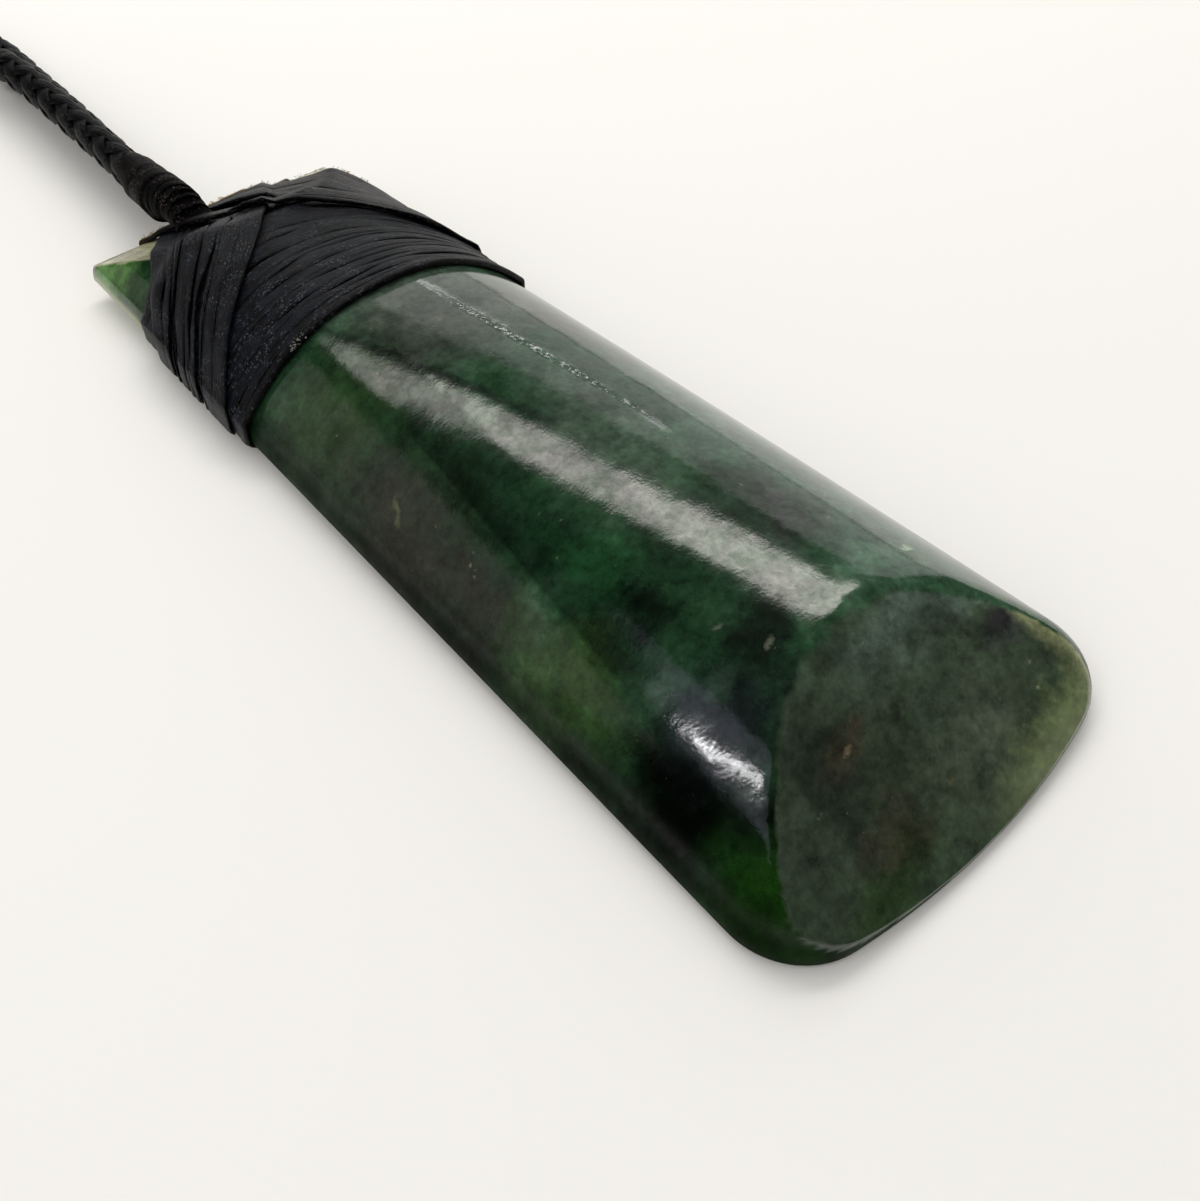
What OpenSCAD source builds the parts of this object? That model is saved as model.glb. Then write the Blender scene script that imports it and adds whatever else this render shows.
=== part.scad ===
/* [Stone] */
// Length of the stone from its butt to the middle of its cutting edge
stone_length = 78; // [60:1:110]
// Width across the sides, carried on to the corners of the blade
blade_width = 28.9; // [24:0.1:40]
// Width across the butt
butt_width = 22.5; // [18:0.1:30]
// How far the cutting edge bows out past the corners of the blade
blade_bow = 2; // [1:0.1:4]
// Radius of the blade's two corners
corner_radius = 5; // [3:0.5:7]
// Height of the upright wall along both sides
wall_height = 1.8; // [1:0.1:3]
// Height of the crown at the butt, before the butt is bevelled
crown_butt = 4.9; // [4:0.1:7]
// Height of the crown at the middle of the length
crown_middle = 8.1; // [6:0.1:11]
// Height of the crown at the blade, before the blade is ground
crown_blade = 8.1; // [6:0.1:11]
// Fullness of the crown, low for a roof and high for a flat top
crown_power = 2.35; // [2:0.05:3]
// Thickness of the cutting edge
edge_thickness = 0.8; // [0.5:0.1:1.5]
// Slope of the ground face that makes the blade
blade_angle = 32.3; // [25:0.1:40]
// Thickness of the butt's end
butt_thickness = 1.5; // [1.2:0.1:2.5]
// Slope of the bevel on the butt
butt_angle = 23; // [15:1:30]
// Round along the lower edges
lower_round = 0.3; // [0.2:0.05:0.6]

/* [Binding] */
// Thickness of one flat waxed strand
strand_thickness = 0.42; // [0.3:0.02:0.5]
// Depth of the groove between two strands
groove_depth = 0.16; // [0.1:0.02:0.2]
// Share of its thickness that a strand keeps under the stone, where it is pressed flat
pressed_share = 0.62; // [0.5:0.02:0.9]
// Clear space under each layer
layer_gap = 0.08; // [0.06:0.01:0.12]
// Strands in the main turns across the stone
main_strands = 16; // [12:1:18]
// Strands in the turns that slant to the left side
left_strands = 10; // [8:1:12]
// Strands in the turns that slant to the right side
right_strands = 9; // [7:1:10]
// Strands that hold the cord down on the butt
lashing_strands = 3; // [2:1:4]
// How far those strands stand clear of the turns that they cross
lashing_rise = 0.35; // [0.15:0.05:0.5]
// How far the turns that slant to the right side stand clear of those under them
right_rise = 0.25; // [0:0.05:0.4]

/* [Cord] */
// Thickness of the braided cord
cord_thickness = 2.9; // [2:0.1:3.5]
// Height of the middle of the cord where it lies on the surface
cord_lie = 1.5; // [1.2:0.05:2]

/* [Hidden] */

stone_green = "#2f4a3b";
thread_black = "#1c1d22";
cord_black = "#15161b";

// The binding under the stone lifts the butt by this angle, so the blade's lower edge stays on the surface
rest_tilt = 0.94;

// Plan of the stone: +Y is the butt, the origin is at mid length
butt_y = stone_length / 2;
blade_y = -stone_length / 2;
shoulder_y = blade_y + blade_bow;
side_slope = (blade_width - butt_width) / 2 / (butt_y - shoulder_y);
side_angle = atan(side_slope);
blade_radius = (pow(blade_width / 2, 2) + pow(blade_bow, 2)) / (2 * blade_bow);
blade_centre_y = blade_y + blade_radius;
inner_radius = blade_radius - corner_radius;
corner_k = half_width(blade_centre_y) - corner_radius / cos(side_angle);
corner_drop = (side_slope * corner_k
    - sqrt(pow(side_slope * corner_k, 2) - (1 + pow(side_slope, 2)) * (pow(corner_k, 2) - pow(inner_radius, 2))))
    / (1 + pow(side_slope, 2));
corner_centre = [corner_k - side_slope * corner_drop, blade_centre_y + corner_drop];
corner_end_angle = atan2(corner_drop, corner_centre[0]);

// Steps of the stone's mesh
side_steps = 22;
corner_steps = 8;
blade_steps = 7;
crown_steps = 11;

// Half of the width between the straight sides at a place along the length
function half_width(y) = butt_width / 2 + side_slope * (butt_y - y);

// Height of the crown's middle line, a curve through its three driving heights
function crown(y) = let (u = (butt_y - y) / (butt_y - shoulder_y))
    crown_butt * (1 - u) * (1 - 2 * u) + 4 * crown_middle * u * (1 - u) + crown_blade * u * (2 * u - 1);

// Height of the rounded top at a share t of the half width
function dome(t, y) = wall_height + (crown(y) - wall_height) * (1 - pow(min(abs(t), 1), crown_power));

// Height of the bevel on the butt
function bevel(y) = butt_thickness + (butt_y - y) * tan(butt_angle);

// Height of the stone's top at a point in plan, behind the blade
function top(p) = min(dome(p[0] / half_width(p[1]), p[1]), bevel(p[1]));

// Right half of the plan's outline, butt to blade: place and the direction that it faces
outline = concat(
    [for (i = [0:side_steps - 1])
        let (y = butt_y + (corner_centre[1] + corner_radius * sin(side_angle) - butt_y) * i / side_steps)
        [[half_width(y), y], side_angle]],
    [for (i = [0:corner_steps])
        let (a = side_angle + (corner_end_angle - side_angle) * i / corner_steps)
        [corner_centre + corner_radius * [cos(a), sin(a)], a]],
    [for (i = [1:blade_steps])
        let (a = corner_end_angle + (-88 - corner_end_angle) * i / blade_steps)
        [[0, blade_centre_y] + blade_radius * [cos(a), sin(a)], a]]);

// One section of the stone, left foot to right foot over the crown
function stone_section(row) = let (
        p = row[0],
        foot = p - lower_round * [cos(row[1]), sin(row[1])])
    concat(
        [[-foot[0], foot[1], 0], [-p[0], p[1], lower_round]],
        [for (j = [-crown_steps:crown_steps])
            let (t = sin(90 * j / crown_steps))
            [t * p[0], p[1], dome(t, p[1])]],
        [[p[0], p[1], lower_round], [foot[0], foot[1], 0]]);

// Faces that join closed rings of points, each ring with count points
function ring_walls(rings, count, first = 0) = [for (i = [0:rings - 2], j = [0:count - 1])
    let (a = first + i * count, b = a + count, k = (j + 1) % count)
    [a + j, a + k, b + k, b + j]];

function flipped(faces) = [for (f = faces) [for (i = [len(f) - 1:-1:0]) f[i]]];

module settled() {
    translate([0, blade_y, 0])
        rotate([rest_tilt, 0, 0])
            translate([0, -blade_y, 0])
                children();
}

module stone() {
    rings = [for (row = outline) stone_section(row)];
    count = len(rings[0]);
    last = (len(rings) - 1) * count;
    color(stone_green)
        settled()
            difference() {
                polyhedron(
                    points = [for (ring = rings, p = ring) p],
                    faces = concat(
                        ring_walls(len(rings), count),
                        [[for (j = [count - 1:-1:0]) j]],
                        [[for (j = [0:count - 1]) last + j]]),
                    convexity = 4);
                translate([0, blade_y, edge_thickness])
                    rotate([blade_angle, 0, 0])
                        translate([-blade_width, -10, 0])
                            cube([2 * blade_width, 50, 30]);
                translate([0, butt_y, butt_thickness])
                    rotate([-butt_angle, 0, 0])
                        translate([-butt_width, -30, 0])
                            cube([2 * butt_width, 40, 20]);
                translate([0, butt_y, 0])
                    rotate([45, 0, 0])
                        cube([2 * butt_width, lower_round * sqrt(2), lower_round * sqrt(2)], center = true);
            }
}

// Binding: a strand is a closed turn round the stone, over a line drawn in plan from one edge to another

// Steps of a turn over the crown, and under the flat back
over_steps = 22;
under_steps = 8;

// Share of a band's lift that is left at the butt and under the stone
under_share = 0.32;

// Where the edges of the crossing bands meet the stone's outline
main_low = 14.3;
main_right = 20.5;
main_left = 27.5;
main_arch = 5.5;
left_low = 17;
left_high = 27.9;
left_end_low = 4.8;
left_end_high = -4.8;
left_arch = -3.4;

function from_right(y) = [half_width(y), y];
function from_left(y) = [-half_width(y), y];
function from_butt(x) = [x, butt_y];
function blend(a, b, f) = a + (b - a) * f;

// Smooth step from 0 to 1 over a width round a place
function ramp(v, at, width) = let (t = max(0, min(1, (v - at) / width + 0.5))) t * t * (3 - 2 * t);

// Arch of a turn in plan, 1 at its highest, even on both sides or leaning to the turn's start
function arch(v, leaning) = leaning ? 6.75 * v * pow(1 - v, 2) : 4 * v * (1 - v);

// Point in plan along a turn at a share of its run; a turn holds its two ends, its arch and whether that leans
function turn_plan(turn, u) =
    blend(turn[0], turn[1], u) + [0, turn[2] * arch(max(0, min(1, u)), turn[3])];

// Place on a straight line in plan at a given x
function line_y(p, q, x) = p[1] + (q[1] - p[1]) * (x - p[0]) / (q[0] - p[0]);

// Place on a turn's line in plan at a given x
function turn_y(turn, x) = let (v = max(0, min(1, (x - turn[0][0]) / (turn[1][0] - turn[0][0]))))
    line_y(turn[0], turn[1], x) + turn[2] * arch(v, turn[3]);

// The turns of each band from its first to its last, at a share from 0 to 1
function main_turn(f) = [
    from_right(blend(main_low, main_right, f)),
    from_left(blend(main_low, main_left, f)),
    main_arch * f * f,
    false];
function left_turn(f) = [
    from_butt(blend(left_end_low, left_end_high, f)),
    from_left(blend(left_low, left_high, f)),
    left_arch * (1 - f),
    true];
function right_turn(f) = [from_right(blend(24, 35.8, f)), from_butt(blend(-0.6, 4.9, f)), blend(-0.8, 0, f), false];
function lashing_turn(f) = [
    from_right(blend(20.5, 23.6, f)),
    from_butt(blend(-6.5, -5.1, f)),
    blend(-2.4, -1.6, f),
    false];

// How far the main turns and the left turns lie under a place in plan, 1 on them and 0 clear of them
function on_main(p) = 1 - ramp(p[1], turn_y(main_turn(1), p[0]) + 1.9, 1.4);
function on_left(p) = ramp(p[1], turn_y(left_turn(0), p[0]) - 2.3, 1.4)
    * (1 - ramp(p[1], turn_y(left_turn(1), p[0]) + 2.3, 1.4));
function layers_below(level, p) = level == 0 ? 0 : on_main(p) + (level == 2 ? on_left(p) : 0);

// Extra clearance over the ridge where the bevel meets the crown
function over_ridge(p) = ridge_clearance * max(0, 1 - abs(dome(p[0] / half_width(p[1]), p[1]) - bevel(p[1])) / 0.8);
ridge_clearance = 0.09;

// Direction in plan that the stone's surface faces at a share of a turn
function outward(p) = p[1] > butt_y - 0.01 ? [0, 1] : [sign(p[0]), 0];
function facing(turn, u) = let (p = turn_plan(turn, u))
    u <= 0.001 ? outward(turn[0])
    : u >= 0.999 ? outward(turn[1])
    : [top(p - [0.1, 0]) - top(p + [0.1, 0]), top(p - [0, 0.1]) - top(p + [0, 0.1])];

// A turn that crosses a slope aslant is set out further in its own plane, so that its true distance stays
function slant(turn, u, a) = let (
        h = facing(turn, u),
        at_end = u < 0.001 || u > 0.999,
        run = at_end ? turn[1] - turn[0] : turn_plan(turn, min(1, u + 0.01)) - turn_plan(turn, max(0, u - 0.01)),
        k = norm(h) < 0.001 ? 1 : max(0.4, abs(h * run) / norm(h) / norm(run)))
    k / sqrt(pow(cos(a), 2) + pow(k * sin(a), 2));

// What a turn lies on, in the upright plane of its run: distance along, height and the angle that it faces
function turn_section(turn) = let (
        run = norm(turn[1] - turn[0]),
        n = over_steps,
        crest = [for (i = [0:n]) let (u = (1 - cos(180 * i / n)) / 2) [u * run, top(turn_plan(turn, u))]],
        faces = [for (i = [0:n]) let (d = crest[min(i + 1, n)] - crest[max(i - 1, 0)]) atan2(d[0], -d[1])],
        r = lower_round)
    concat(
        [[run - r, 0, -90], [run - r / 2, r / 2, -45], [run, r, 0]],
        [[run, crest[n][1], 0], [run, crest[n][1], faces[n] / 2]],
        [for (i = [n:-1:0]) [crest[i][0], crest[i][1], faces[i]]],
        [[0, crest[0][1], (180 + faces[0]) / 2], [0, crest[0][1], 180]],
        [[0, r, 180], [r / 2, r / 2, 225], [r, 0, 270]],
        [for (k = [1:under_steps - 1]) [run * k / under_steps, 0, 270]]);

// Share of a band's lift at a share of a turn: whole over the top, little at the turn's end and under the stone
function lift_share(u, under) = under ? under_share : blend(1, under_share, ramp(u, 0.86, 0.2));

// Closed ring of a turn at a height above what it lies on, held clear of it by the layer's gap and the band's lift
function turn_ring(turn, level, lift, height) = let (run = norm(turn[1] - turn[0]))
    [for (q = turn_section(turn))
        let (
            u = q[0] / run,
            under = q[2] < -20 || q[2] > 200,
            flat = under ? pressed_share : 1,
            p = turn_plan(turn, u),
            below = layers_below(level, p) * (strand_thickness * flat + layer_gap),
            clear = layer_gap + lift * lift_share(u, under) + (under ? 0 : over_ridge(p)),
            out = (clear + below + height * flat) / slant(turn, u, q[2]),
            plan = turn_plan(turn, u + out * cos(q[2]) / run))
        [plan[0], plan[1], q[1] + out * sin(q[2])]];

// Faces between the first or the last ring of the outside and that of the inside
function end_faces(outer, inner, count) = [for (j = [0:count - 1])
    let (k = (j + 1) % count)
    [outer + j, inner + j, inner + k, outer + k]];

// Band of strands side by side, made of the turns from share 0 to share 1; its inside takes every inner_step-th turn
module band(strands, level, turns, lift = 0, inner_step = 1) {
    valley = strand_thickness - groove_depth;
    outer = [for (i = [0:2 * strands]) turn_ring(turns[i], level, lift, i % 2 == 0 ? valley : strand_thickness)];
    inner = [for (i = [0:inner_step:2 * strands]) turn_ring(turns[i], level, lift, 0)];
    count = len(outer[0]);
    start = len(outer) * count;
    settled()
        polyhedron(
            points = concat([for (ring = outer, p = ring) p], [for (ring = inner, p = ring) p]),
            faces = flipped(concat(
                ring_walls(len(outer), count),
                flipped(ring_walls(len(inner), count, start)),
                end_faces(0, start, count),
                flipped(end_faces(start - count, start + (len(inner) - 1) * count, count)))),
            convexity = 8);
}

module main_binding() {
    color(thread_black)
        band(main_strands, 0, [for (i = [0:2 * main_strands]) main_turn(i / main_strands / 2)], inner_step = 2);
}

module left_binding() {
    color(thread_black)
        band(left_strands, 1, [for (i = [0:2 * left_strands]) left_turn(i / left_strands / 2)]);
}

module right_binding() {
    color(thread_black)
        band(
            right_strands,
            2,
            [for (i = [0:2 * right_strands]) right_turn(i / right_strands / 2)],
            lift = right_rise);
}

module cord_lashing() {
    color(thread_black)
        band(
            lashing_strands,
            2,
            [for (i = [0:2 * lashing_strands]) lashing_turn(i / lashing_strands / 2)],
            lift = lashing_rise);
}

// Collar: thread wound round both runs of the cord, from on top of the butt's bevel to past its end
collar_sides = 16;
// Each row: y, then x, height and radius round the upper run, then the same round the lower run
collar_rows = [
    [37.4, -2.9, 4.20, 1.15, -2.9, 4.20, 1.15],
    [38.2, -2.9, 4.15, 1.60, -2.9, 4.15, 1.60],
    [39.6, -3.1, 4.00, 1.75, -3.1, 3.80, 1.75],
    [41.2, -3.3, 3.85, 1.85, -3.0, 3.00, 1.80],
    [43.2, -3.2, 3.65, 1.85, -2.3, 2.00, 1.75],
    [45.0, -2.9, 3.40, 1.65, -1.7, 1.20, 1.60],
    [46.5, -2.7, 3.10, 1.50, -1.3, 0.65, 1.50]];

// Ring round two circles that stand across the cord
function round_both(row) = [for (i = [0:collar_sides - 1])
    let (
        d = [cos(360 * i / collar_sides), sin(360 * i / collar_sides)],
        upper = [row[1], row[2]] + row[3] * d,
        lower = [row[4], row[5]] + row[6] * d,
        w = upper * d > lower * d ? upper : lower)
    [w[0], row[0], w[1]]];

module collar() {
    rings = [for (row = collar_rows) round_both(row)];
    last = (len(rings) - 1) * collar_sides;
    color(thread_black)
        settled()
            polyhedron(
                points = [for (ring = rings, p = ring) p],
                faces = concat(
                    ring_walls(len(rings), collar_sides),
                    [[for (j = [collar_sides - 1:-1:0]) j]],
                    [[for (j = [0:collar_sides - 1]) last + j]]),
                convexity = 4);
}

// Neck cord: a loop that goes over the head, out of the collar above and back into it below
cord_route = [
    [-2.7, 47.2, 4.2], [-2.4, 51, 4.1], [-2.1, 57, 4.0], [-1.9, 63, 4.0], [-1.7, 69, 3.9], [-1.8, 74, 3.6],
    [-3, 80, 2.6], [-7, 87, cord_lie], [-14, 93, cord_lie], [-23, 94, cord_lie], [-32, 88, cord_lie],
    [-39, 77, cord_lie], [-45, 62, cord_lie], [-52, 45, cord_lie], [-59, 27, cord_lie], [-66, 9, cord_lie],
    [-74, -9, cord_lie], [-85, -25, cord_lie], [-100, -36, cord_lie], [-118, -39, cord_lie],
    [-136, -33, cord_lie], [-150, -20, cord_lie], [-160, -1, cord_lie], [-166, 22, cord_lie],
    [-167, 47, cord_lie], [-164, 72, cord_lie], [-155, 96, cord_lie], [-141, 116, cord_lie],
    [-122, 131, cord_lie], [-99, 139, cord_lie], [-74, 140, cord_lie], [-50, 135, cord_lie],
    [-28, 125, cord_lie], [-11, 111, cord_lie], [-2, 96, cord_lie], [0.4, 83, cord_lie], [0.2, 72, cord_lie],
    [-0.2, 63, cord_lie], [-0.8, 54, cord_lie], [-1.1, 47.2, 1.6]];
cord_sides = 8;
cord_spans = 2;

// A point on the smooth curve through the route's points
function route_at(i, t) = let (
        last = len(cord_route) - 1,
        p0 = cord_route[max(i - 1, 0)],
        p1 = cord_route[i],
        p2 = cord_route[min(i + 1, last)],
        p3 = cord_route[min(i + 2, last)])
    0.5 * (2 * p1 + (p2 - p0) * t + (2 * p0 - 5 * p1 + 4 * p2 - p3) * t * t + (3 * p1 - p0 - 3 * p2 + p3) * t * t * t);

cord_line = concat(
    [for (i = [0:len(cord_route) - 2], k = [0:cord_spans - 1]) route_at(i, k / cord_spans)],
    [cord_route[len(cord_route) - 1]]);

function cord_ring(i) = let (
        before = cord_line[max(i - 1, 0)],
        after = cord_line[min(i + 1, len(cord_line) - 1)],
        along = (after - before) / norm(after - before),
        side = cross(along, [0, 0, 1]) / norm(cross(along, [0, 0, 1])),
        up = cross(side, along))
    [for (j = [0:cord_sides - 1])
        let (a = 360 * (j + 0.5) / cord_sides)
        cord_line[i] + cord_thickness / 2 * (cos(a) * side + sin(a) * up)];

module neck_cord() {
    rings = [for (i = [0:len(cord_line) - 1]) cord_ring(i)];
    last = (len(rings) - 1) * cord_sides;
    color(cord_black)
        polyhedron(
            points = [for (ring = rings, p = ring) p],
            faces = concat(
                ring_walls(len(rings), cord_sides),
                [[for (j = [cord_sides - 1:-1:0]) j]],
                [[for (j = [0:cord_sides - 1]) last + j]]),
            convexity = 8);
}

stone();
main_binding();
left_binding();
right_binding();
cord_lashing();
collar();
neck_cord();
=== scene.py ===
"""Looks of a greenstone adze pendant: the polished stone, its waxed binding and the braided neck cord."""

import logging
import math
import random
from dataclasses import dataclass
from enum import Enum
from typing import Callable, Sequence

import bpy
from mathutils import Matrix, Vector, noise


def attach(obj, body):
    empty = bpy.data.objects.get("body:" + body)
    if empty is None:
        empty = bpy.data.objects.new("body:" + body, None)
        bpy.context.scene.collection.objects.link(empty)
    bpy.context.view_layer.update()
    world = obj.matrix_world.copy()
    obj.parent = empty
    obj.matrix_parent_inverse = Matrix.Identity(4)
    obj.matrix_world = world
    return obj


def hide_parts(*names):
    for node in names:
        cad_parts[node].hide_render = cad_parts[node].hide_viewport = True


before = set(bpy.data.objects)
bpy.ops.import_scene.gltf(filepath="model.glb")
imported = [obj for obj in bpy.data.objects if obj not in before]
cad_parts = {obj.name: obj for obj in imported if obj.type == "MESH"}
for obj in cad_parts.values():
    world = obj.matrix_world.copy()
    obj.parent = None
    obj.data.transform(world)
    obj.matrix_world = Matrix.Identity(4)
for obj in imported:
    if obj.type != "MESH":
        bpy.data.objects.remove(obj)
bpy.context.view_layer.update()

# Short names of types: a material's tree, what a node gives, a material, a piece, and a node's inputs
Tree = bpy.types.NodeTree
Socket = bpy.types.NodeSocket
Material = bpy.types.Material
Piece = bpy.types.Object
Inputs = dict[int | str, object]

LOG = logging.getLogger("pendant")
MM = 0.001
BODY = "root"

# The binding lifts the stone's butt, so all that is fast to the stone leans about the blade's lower edge
REST_TILT = math.radians(0.94)
BLADE_EDGE = Vector((0, -39 * MM, 0))
SETTLED = (Matrix.Translation(BLADE_EDGE) @ Matrix.Rotation(REST_TILT, 4, "X")
           @ Matrix.Translation(-BLADE_EDGE))


def linear(colour: str) -> tuple[float, float, float, float]:
    """Turns an sRGB hex colour, "#rrggbb", into the linear red, green, blue and alpha that a shader takes."""
    parts = [int(colour[i:i + 2], 16) / 255 for i in (1, 3, 5)]
    red, green, blue = [p / 12.92 if p <= 0.04045 else ((p + 0.055) / 1.055) ** 2.4 for p in parts]
    return red, green, blue, 1.0


def mix(a: float, b: float, share: float) -> float:
    """Returns the value at a share of the way from a to b."""
    return a + (b - a) * share


def ramp(value: float, at: float, width: float) -> float:
    """Returns a smooth step from 0 to 1 over a width round a place."""
    t = min(1.0, max(0.0, (value - at) / width + 0.5))
    return t * t * (3 - 2 * t)


def select_only(*objects: Piece) -> None:
    """Leaves just these objects selected, with the first one active."""
    bpy.ops.object.select_all(action="DESELECT")
    for item in objects:
        item.select_set(True)
    bpy.context.view_layer.objects.active = objects[0]


def lattice(name: str, rows: Sequence[Sequence[Vector]], along: bool = False, capped: bool = False,
            marks: dict[str, Sequence[Sequence[float]]] | None = None) -> Piece:
    """Models a closed form by laying a grid's points on rows of places, then sewing its seams.

    Its UV map is in millimetres: across each row, and along the rows.

    Args:
        name: Name of the piece.
        rows: The places, in metres, with as many in each row. Each row closes on itself.
        along: Whether the last row meets the first.
        capped: Whether the open ends are filled.
        marks: For each measure by name, its value at each place. It is stored on the points.

    Returns:
        The piece, with its faces outwards.
    """
    def closed(values: Sequence[Sequence]) -> list[list]:
        """Repeats the first of each row, and the first row if the last one meets it."""
        full = [list(row) + [row[0]] for row in values]
        return full + [full[0]] * along

    columns = closed(rows)
    across, down = len(columns[0]), len(columns)
    bpy.ops.object.select_all(action="DESELECT")
    bpy.ops.mesh.primitive_grid_add(x_subdivisions=across - 1, y_subdivisions=down - 1, size=MM)
    piece = bpy.context.object
    piece.name = piece.data.name = name
    piece.data.vertices.foreach_set("co", [c for row in columns for p in row for c in p])
    run = [0.0]
    for before, after in zip(columns, columns[1:]):
        run.append(run[-1] + (after[0] - before[0]).length / MM)
    middle = columns[down // 2]
    girth = [0.0]
    for before, after in zip(middle, middle[1:]):
        girth.append(girth[-1] + (after - before).length / MM)
    corners = (piece.data.loops[i].vertex_index for i in range(len(piece.data.loops)))
    piece.data.uv_layers.active.data.foreach_set(
        "uv", [c for v in corners for c in (girth[v % across], run[v // across])])
    for key, values in (marks or {}).items():
        measure = piece.data.attributes.new(key, "FLOAT", "POINT")
        measure.data.foreach_set("value", [v for row in closed(values) for v in row])
    bpy.ops.object.mode_set(mode="EDIT")
    bpy.ops.mesh.select_all(action="SELECT")
    bpy.ops.mesh.remove_doubles(threshold=0.001 * MM)
    if capped:
        bpy.ops.mesh.fill_holes(sides=0)
    bpy.ops.mesh.select_all(action="SELECT")
    bpy.ops.mesh.normals_make_consistent(inside=False)
    bpy.ops.object.mode_set(mode="OBJECT")
    bpy.ops.object.shade_smooth()
    return piece


def swept(name: str, path: Sequence[Vector], outs: Sequence[Vector], width: float, thickness: float,
          sides: int, light_top_narrowness: float = 0.4) -> Piece:
    """Models a thread along a path, flat against what it lies on.

    Args:
        name: Name of the thread.
        path: Its middle line in mm.
        outs: The direction away from what it lies on, at each point.
        width: Its width in mm.
        thickness: Its thickness in mm.
        sides: How many sides its section has.
        light_top_narrowness: How narrow the lighter top of the thread is, painted light with some rubbing,
            over sides painted in shade.

    Returns:
        The thread, closed at its ends.
    """
    rows = []
    angles = [2 * math.pi * (k + 0.5) / sides for k in range(sides)]
    for i, (p, out) in enumerate(zip(path, outs)):
        ahead = (path[min(i + 1, len(path) - 1)] - path[max(i - 1, 0)]).normalized()
        up = (out - out.dot(ahead) * ahead).normalized()
        side = ahead.cross(up)
        rows.append([(p + side * math.cos(a) * width / 2 + up * math.sin(a) * thickness / 2) * MM
                     for a in angles])
    # Painted light and shade, with some rubbing: lighter on the thread's top, darker on its sides
    crest = [max(0.0, math.sin(a)) ** light_top_narrowness for a in angles]
    return lattice(name, rows, capped=True, marks={"crest": [crest] * len(rows)})


def joined(name: str, pieces: Sequence[Piece]) -> Piece:
    """Joins pieces into one of that name, and returns it."""
    select_only(*pieces)
    if len(pieces) > 1:
        bpy.ops.object.join()
    piece = bpy.context.object
    piece.name = piece.data.name = name
    return piece


def settle(piece: Piece) -> None:
    """Leans a piece with the stone, and puts its place into its mesh."""
    select_only(piece)
    piece.matrix_world = SETTLED
    bpy.ops.object.transform_apply(location=True, rotation=True, scale=True)


def finish(piece: Piece, material: Material, slot: str, *nodes: str) -> None:
    """Dresses a piece, seats it on the body and has it stand for its nodes.

    Args:
        piece: The finished mesh, in place.
        material: What it is made of.
        slot: The record's name for that material; not used.
        *nodes: The solids that it stands for.
    """
    piece.data.materials.clear()
    piece.data.materials.append(material)
    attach(piece, BODY)
    if nodes:
        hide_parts(*nodes)
    LOG.info("%s: %d faces", piece.name, len(piece.data.polygons))


def add(tree: Tree, kind: str, inputs: Inputs | None = None, take: str | None = None,
        **settings: object) -> Socket | None:
    """Adds one node to a material.

    Args:
        tree: The material's tree.
        kind: The node's type, without the words that all types begin with.
        inputs: For each input, its value or the socket that feeds it.
        take: Name of the output that is wanted, or else the first one in use.
        **settings: The node's own settings.

    Returns:
        The node's output, if it has one.
    """
    made = tree.nodes.new("ShaderNode" + kind)
    for key, value in settings.items():
        setattr(made, key, value)
    for key, value in (inputs or {}).items():
        if isinstance(value, Socket):
            tree.links.new(value, made.inputs[key])
        else:
            made.inputs[key].default_value = value
    if take:
        return made.outputs[take]
    return next((out for out in made.outputs if out.enabled), None)


@dataclass(frozen=True)
class Noise:
    """A noise in a material: its features for each mm, its octaves of detail and how strong they are."""

    per_mm: float
    detail: float = 2.0
    roughness: float = 0.5

    def over(self, place: Socket) -> Inputs:
        """Returns its inputs over a place in mm."""
        return {"Vector": place, "Scale": self.per_mm, "Detail": self.detail, "Roughness": self.roughness}


@dataclass(frozen=True)
class Relief:
    """How a material's surface is embossed: the strength, and the depth in mm."""

    strength: float
    depth: float

    def of(self, height: Socket) -> Inputs:
        """Returns its inputs for a height."""
        return {"Height": height, "Strength": self.strength, "Distance": self.depth * MM}


@dataclass(frozen=True)
class Span:
    """A range of values, and the range that it is turned into."""

    start: float
    end: float
    low: float = 0.0
    high: float = 1.0

    def of(self, value: Socket) -> Inputs:
        """Returns its inputs for a value."""
        return {"Value": value, "From Min": self.start, "From Max": self.end, "To Min": self.low,
                "To Max": self.high}


def varied(tree: Tree, place: Socket, pattern: Noise, span: Span) -> Socket:
    """Returns a noise over a place in mm, turned into a range."""
    return add(tree, "MapRange", span.of(add(tree, "TexNoise", pattern.over(place))))


def chained(tree: Tree, kind: str, link: int | str, rows: Sequence[Inputs], start: object = None,
            **settings: object) -> Socket:
    """Adds nodes of one type in a row, each fed by the one before.

    Args:
        tree: The material's tree.
        kind: Their type.
        link: The input that takes the one before.
        rows: For each node, its other inputs.
        start: What feeds the first one, if anything does.
        **settings: Their settings.

    Returns:
        The last one's output.
    """
    for row in rows:
        start = add(tree, kind, row if start is None else {**row, link: start}, **settings)
    return start


def place_in_mm(tree: Tree) -> Socket:
    """Returns the place on the piece in mm."""
    place = add(tree, "TexCoord", take="Object")
    return add(tree, "VectorMath", {0: place, "Scale": 1 / MM}, operation="SCALE")


def new_material(name: str) -> tuple[Material, Tree]:
    """Makes an empty material, and returns it with its tree."""
    material = bpy.data.materials.new(name)
    material.use_nodes = True
    material.node_tree.nodes.clear()
    return material, material.node_tree


def surface(tree: Tree, inputs: Inputs) -> None:
    """Ends a material in a principled shader with these inputs."""
    add(tree, "OutputMaterial", {"Surface": add(tree, "BsdfPrincipled", inputs)})


@dataclass(frozen=True)
class Cloud:
    """A cloud of colour in the stone: place and half sizes in mm, turn in degrees, colour and strength."""

    x: float
    y: float
    half_x: float
    half_y: float
    turn: float
    colour: str
    strength: float


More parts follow.
